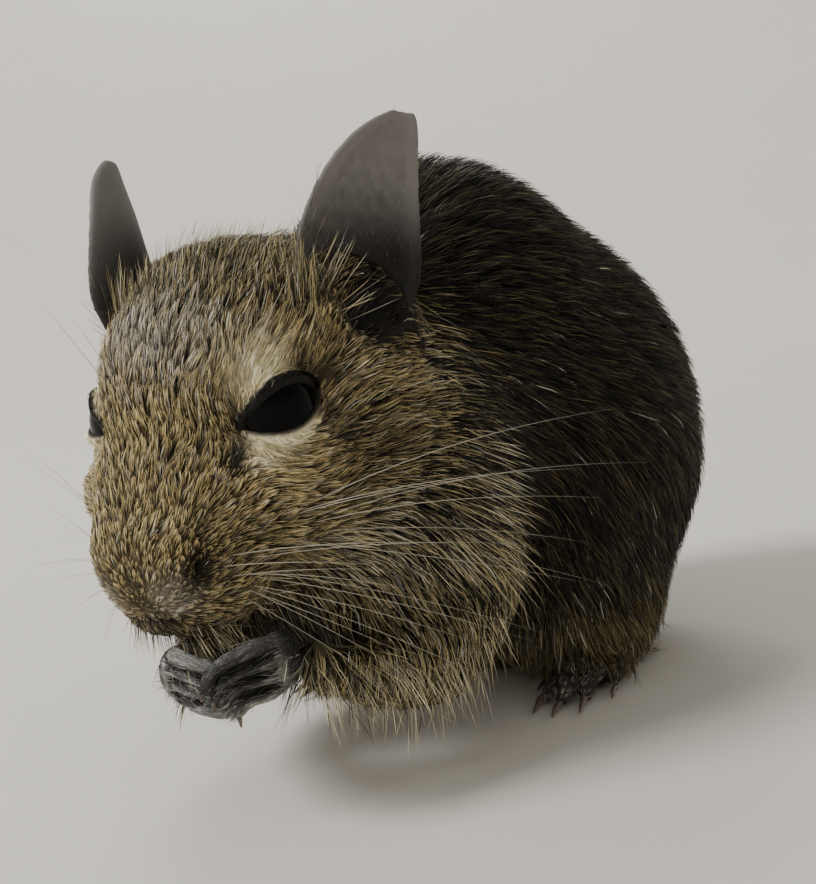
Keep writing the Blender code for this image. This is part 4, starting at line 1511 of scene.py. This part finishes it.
def paint_skin(skin, hide):
    """Gives the skin the coat's markings, darker under the hair, the bare parts' own greys, and painted
    shade in nostrils, ears' hollows, creases and furrows.
    """
    colour = hide.tones[:, 0:3] * 0.7 + hide.tones[:, 3:6] * 0.1
    for kind, tone in (("ear", "ear_grey"), ("foot", "paw_grey")):
        colour[of_kind(hide.parts, kind)] = colour_of(tone)
    colour = spread(colour, hide.edges, 3)
    # Painted shade in the nostrils
    deep_shade = fade(route_gap(hide.head_mm, NOSTRIL_MM), 1.1, 4)
    # Painted shade in each ear's hollow, and on the ear itself towards its base
    bowl = smoothstep(16.0, 6.0, place_gap(hide.head_mm, EAR_BOWL_MM))
    bowl *= np.where(hide.furred, hide.bare, 1.0)
    for tone, share in (("lid_grey", hide.bare), ("deep_shade", deep_shade), ("ear_hollow_shade", bowl)):
        colour = colour * (1 - share[:, None]) + colour_of(tone) * share[:, None]
    # Painted shade in folds, creases and the furrows between fingers
    crease_shade = hollows(hide.points, hide.normals, hide.edges) * (~hide.furred | (hide.bare > 0.5))
    colour = colour * (1 - 0.75 * np.maximum(crease_shade, hide.furrow)[:, None])
    layer = skin.data.color_attributes.new("coat_colour", "FLOAT_COLOR", "POINT")
    write(layer.data, "color", np.concatenate([colour, np.ones((len(colour), 1))], 1))
    skin.data.materials.clear()
    skin.data.materials.append(finish("skin"))


made = {}


class DEGU_OT_skin(bpy.types.Operator):
    """Grow the one skin that replaces the flesh nodes"""

    bl_idname = "degu.skin"
    bl_label = "Skin"

    def execute(self, context):
        skin = build_skin()
        select_only(skin)
        bpy.ops.object.mode_set(mode="EDIT")
        bpy.ops.mesh.select_all(action="SELECT")
        bpy.ops.uv.smart_project(angle_limit=math.radians(66), island_margin=0.002)
        bpy.ops.object.mode_set(mode="OBJECT")
        skin.data.uv_layers[0].name = "OFBake"
        made["hide"] = Hide(skin, context.scene.degu_coat)
        paint_skin(skin, made["hide"])
        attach(skin, BODY)
        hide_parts(*PART_NAMES)
        return {"FINISHED"}


class DEGU_OT_coat(bpy.types.Operator):
    """Grow the coat over the skin, part by part"""

    bl_idname = "degu.coat"
    bl_label = "Coat"

    def execute(self, context):
        hide = made["hide"]
        for name, (share, steps, tuft, gather, black_tips) in coat_groups(hide).items():
            grow_coat(hide, name, share, steps, COAT_SEEDS[name], tuft, gather, black_tips)
        grow_fringes(hide, COAT_SEEDS["coat_fringe"])
        return {"FINISHED"}


class DEGU_OT_whiskers(bpy.types.Operator):
    """Set the whiskers of the muzzle and brows"""

    bl_idname = "degu.whiskers"
    bl_label = "Whiskers"

    def execute(self, context):
        face = context.scene.degu_face
        grow_whiskers(made["hide"], face.whisker_length, face.whisker_thickness, WHISKER_SEED)
        return {"FINISHED"}


# Places of the knots along a hair, closer together where its pale band is
SHORT_STEPS = (0.0, 0.5, 0.8, 1.0)
BANDED_STEPS = (0.0, 0.56, 0.82, 1.0)

COAT_SEEDS = {
    "coat_face": 11,
    "coat_cheeks": 12,
    "coat_neck": 13,
    "coat_trunk": 14,
    "coat_legs": 15,
    "coat_ears": 16,
    "coat_tail": 17,
    "coat_fringe": 18,
}
WHISKER_SEED = 21


def coat_groups(hide):
    """For each coat piece: where it grows, its hairs' knots, tuft size, tufting and share of black tips."""
    front = smoothstep(2.0, -2.0, hide.head_mm[:, 1] - 0.3 * hide.head_mm[:, 2])
    head, neck, trunk, ears, tail = (
        of_kind(hide.parts, kind).astype(float) for kind in ("head", "neck", "trunk", "ear", "tail")
    )
    legs = of_kind(hide.parts, "arm", "thigh", "hand", "foot").astype(float)
    return {
        "coat_face": (head * front, SHORT_STEPS, 12, 0.72, 0.35),
        "coat_cheeks": (head * (1 - front), BANDED_STEPS, 11, 0.66, 0.5),
        "coat_neck": (neck, BANDED_STEPS, 7, 0.5, 0.6),
        "coat_trunk": (trunk, BANDED_STEPS, 7, 0.5, 0.6),
        "coat_legs": (legs, BANDED_STEPS, 7, 0.45, 0.5),
        "coat_ears": (ears, SHORT_STEPS, 4, 0.1, 0.6),
        "coat_tail": (tail, BANDED_STEPS, 6, 0.3, 0.6),
    }


class DEGU_OT_eyes(bpy.types.Operator):
    """Set both glossy eyeballs in their lids"""

    bl_idname = "degu.eyes"
    bl_label = "Eyes"

    def execute(self, context):
        for name, side in SIDES:
            bpy.ops.object.select_all(action="DESELECT")
            bpy.ops.mesh.primitive_uv_sphere_add(
                segments=48,
                ring_count=24,
                radius=EYE_RADIUS_MM * MM,
                location=from_head(mirrored(eye_place(side), side)),
            )
            eye = context.object
            eye.name = "eyeball_" + name
            bpy.ops.object.transform_apply(location=True, rotation=True, scale=True)
            bpy.ops.object.shade_smooth()
            eye.data.materials.append(finish("eye"))
            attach(eye, BODY)
            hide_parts("eye_" + name)
        return {"FINISHED"}


CLAW_HOSTS = {"claw": "foot", "nail": "hand"}
CLAW_COUNTS = (("claw", 5), ("nail", 4))
CLAW_ROOT_MM = 0.9


class DEGU_OT_claws(bpy.types.Operator):
    """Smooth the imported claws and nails"""

    bl_idname = "degu.claws"
    bl_label = "Claws"

    def execute(self, context):
        for side, _ in SIDES:
            for kind, count in CLAW_COUNTS:
                names = [f"{kind}_{side}_{number}" for number in range(1, count + 1)]
                horns = [node_copy(name) for name in names]
                for horn in horns:
                    rooted(horn, f"{CLAW_HOSTS[kind]}_{side}", CLAW_ROOT_MM * MM)
                piece = joined(horns, f"{kind}s_{side}")
                finish_with(piece, "SUBSURF", levels=1, render_levels=1)
                bpy.ops.object.shade_smooth()
                piece.data.materials.append(finish("claw"))
                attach(piece, BODY)
                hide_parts(*names)
        return {"FINISHED"}


class DEGU_OT_stage(bpy.types.Operator):
    """Lay the pale paper, set the soft lights and place the camera"""

    bl_idname = "degu.stage"
    bl_label = "Stage"

    def execute(self, context):
        stage = context.scene.degu_stage
        lay_paper()
        place_camera()
        place_lights(stage.key_power, stage.surround)
        return {"FINISHED"}


def lay_paper():
    """A pale sheet, flat under the animal and swept up all round it."""
    bpy.ops.mesh.primitive_grid_add(x_subdivisions=PAPER_FACES, y_subdivisions=PAPER_FACES, size=PAPER_SIZE)
    paper = bpy.context.object
    paper.name = "paper"
    points = points_of(paper.data)
    away = np.linalg.norm(points[:, :2], axis=1)
    points[:, 2] = PAPER_RISE * smoothstep(PAPER_BEND_START, PAPER_BEND_END, away)
    put_points(paper.data, points)
    paper.data.shade_smooth()
    paper.data.materials.append(finish("floor"))


PAPER_SIZE = 6.0
PAPER_FACES = 160
PAPER_RISE = 1.3
PAPER_BEND_START = 0.45
PAPER_BEND_END = 1.7
CAMERA_PLACE_MM = (98.8, -156.7, 53.0)
CAMERA_TURN = math.radians(35)
CAMERA_PITCH = math.atan(122 / 1250)
CAMERA_ROLL = math.atan(0.1416 / 0.99)
PHOTO_HEIGHT_PX = 884
FOCAL_PX = 1250
SENSOR_MM = 36


def place_camera():
    """The camera at the photograph's place, turned and tilted as it was."""
    across = np.array((math.cos(CAMERA_TURN), math.sin(CAMERA_TURN), 0))
    ahead = np.array((-math.sin(CAMERA_TURN), math.cos(CAMERA_TURN), 0))
    up = np.array((0, 0, 1))
    view = ahead * math.cos(CAMERA_PITCH) - up * math.sin(CAMERA_PITCH)
    down = -(up * math.cos(CAMERA_PITCH) + ahead * math.sin(CAMERA_PITCH))
    right = across * math.cos(CAMERA_ROLL) + down * math.sin(CAMERA_ROLL)
    low = -across * math.sin(CAMERA_ROLL) + down * math.cos(CAMERA_ROLL)
    data = bpy.data.cameras.new("camera")
    camera = placed("camera", data)
    turn = Matrix((right, -low, -view)).transposed().to_4x4()
    turn.translation = Vector(BODY_ORIGIN + np.array(CAMERA_PLACE_MM) * MM)
    camera.matrix_world = turn
    data.sensor_fit = "VERTICAL"
    data.sensor_height = SENSOR_MM
    data.lens = FOCAL_PX / PHOTO_HEIGHT_PX * SENSOR_MM
    data.clip_start = 0.005
    data.clip_end = 20.0
    bpy.context.scene.camera = camera


# Name, place, share of the key light's power, and width of each light
LIGHTS = (
    ("key", (-0.50, -0.72, 0.80), 1.0, 0.42),
    ("rim", (-0.55, 0.75, 0.70), 0.45, 0.60),
)
SURROUND_COLOUR = "#e6e4df"
LIT_PLACE = (0, 0, 0.04)


def place_lights(key_power, surround):
    """A round soft key from the camera's left, a rim light behind and an even pale surround."""
    world = bpy.data.worlds.new("surround")
    world.use_nodes = True
    around = world.node_tree.nodes["Background"]
    around.inputs["Color"].default_value = linear(SURROUND_COLOUR)
    around.inputs["Strength"].default_value = surround
    bpy.context.scene.world = world
    for name, place, share, size in LIGHTS:
        bpy.ops.object.light_add(type="AREA", location=place)
        light = bpy.context.object
        light.name = name
        light.data.shape = "DISK"
        light.data.energy = key_power * share
        light.data.size = size
        aim = Vector(LIT_PLACE) - light.location
        light.rotation_euler = aim.to_track_quat("-Z", "Y").to_euler()


class DEGU_PT_panel(bpy.types.Panel):
    """Settings and operators of the model"""

    bl_label = "Degu"
    bl_idname = "DEGU_PT_panel"
    bl_space_type = "VIEW_3D"
    bl_region_type = "UI"
    bl_category = "Degu"

    def draw(self, context):
        for settings in (context.scene.degu_coat, context.scene.degu_face, context.scene.degu_stage):
            box = self.layout.box()
            for name in settings.__annotations__:
                box.prop(settings, name)
        for operator in OPERATORS:
            self.layout.operator(operator.bl_idname)


OPERATORS = (DEGU_OT_skin, DEGU_OT_eyes, DEGU_OT_claws, DEGU_OT_coat, DEGU_OT_whiskers, DEGU_OT_stage)
SETTINGS = {
    "degu_coat": DeguCoatSettings,
    "degu_face": DeguFaceSettings,
    "degu_stage": DeguStageSettings,
}


def register():
    """Registers the classes and hangs the settings on the scene."""
    for kind in (*SETTINGS.values(), *OPERATORS, DEGU_PT_panel):
        bpy.utils.register_class(kind)
    for name, kind in SETTINGS.items():
        setattr(bpy.types.Scene, name, bpy.props.PointerProperty(type=kind))


def unregister():
    """Takes the settings and the classes away again."""
    for name in SETTINGS:
        delattr(bpy.types.Scene, name)
    for kind in reversed((*SETTINGS.values(), *OPERATORS, DEGU_PT_panel)):
        bpy.utils.unregister_class(kind)


def main():
    """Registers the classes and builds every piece."""
    register()
    bpy.ops.degu.skin()
    bpy.ops.degu.eyes()
    bpy.ops.degu.claws()
    bpy.ops.degu.coat()
    bpy.ops.degu.whiskers()
    bpy.ops.degu.stage()


if __name__ == "__main__":
    main()
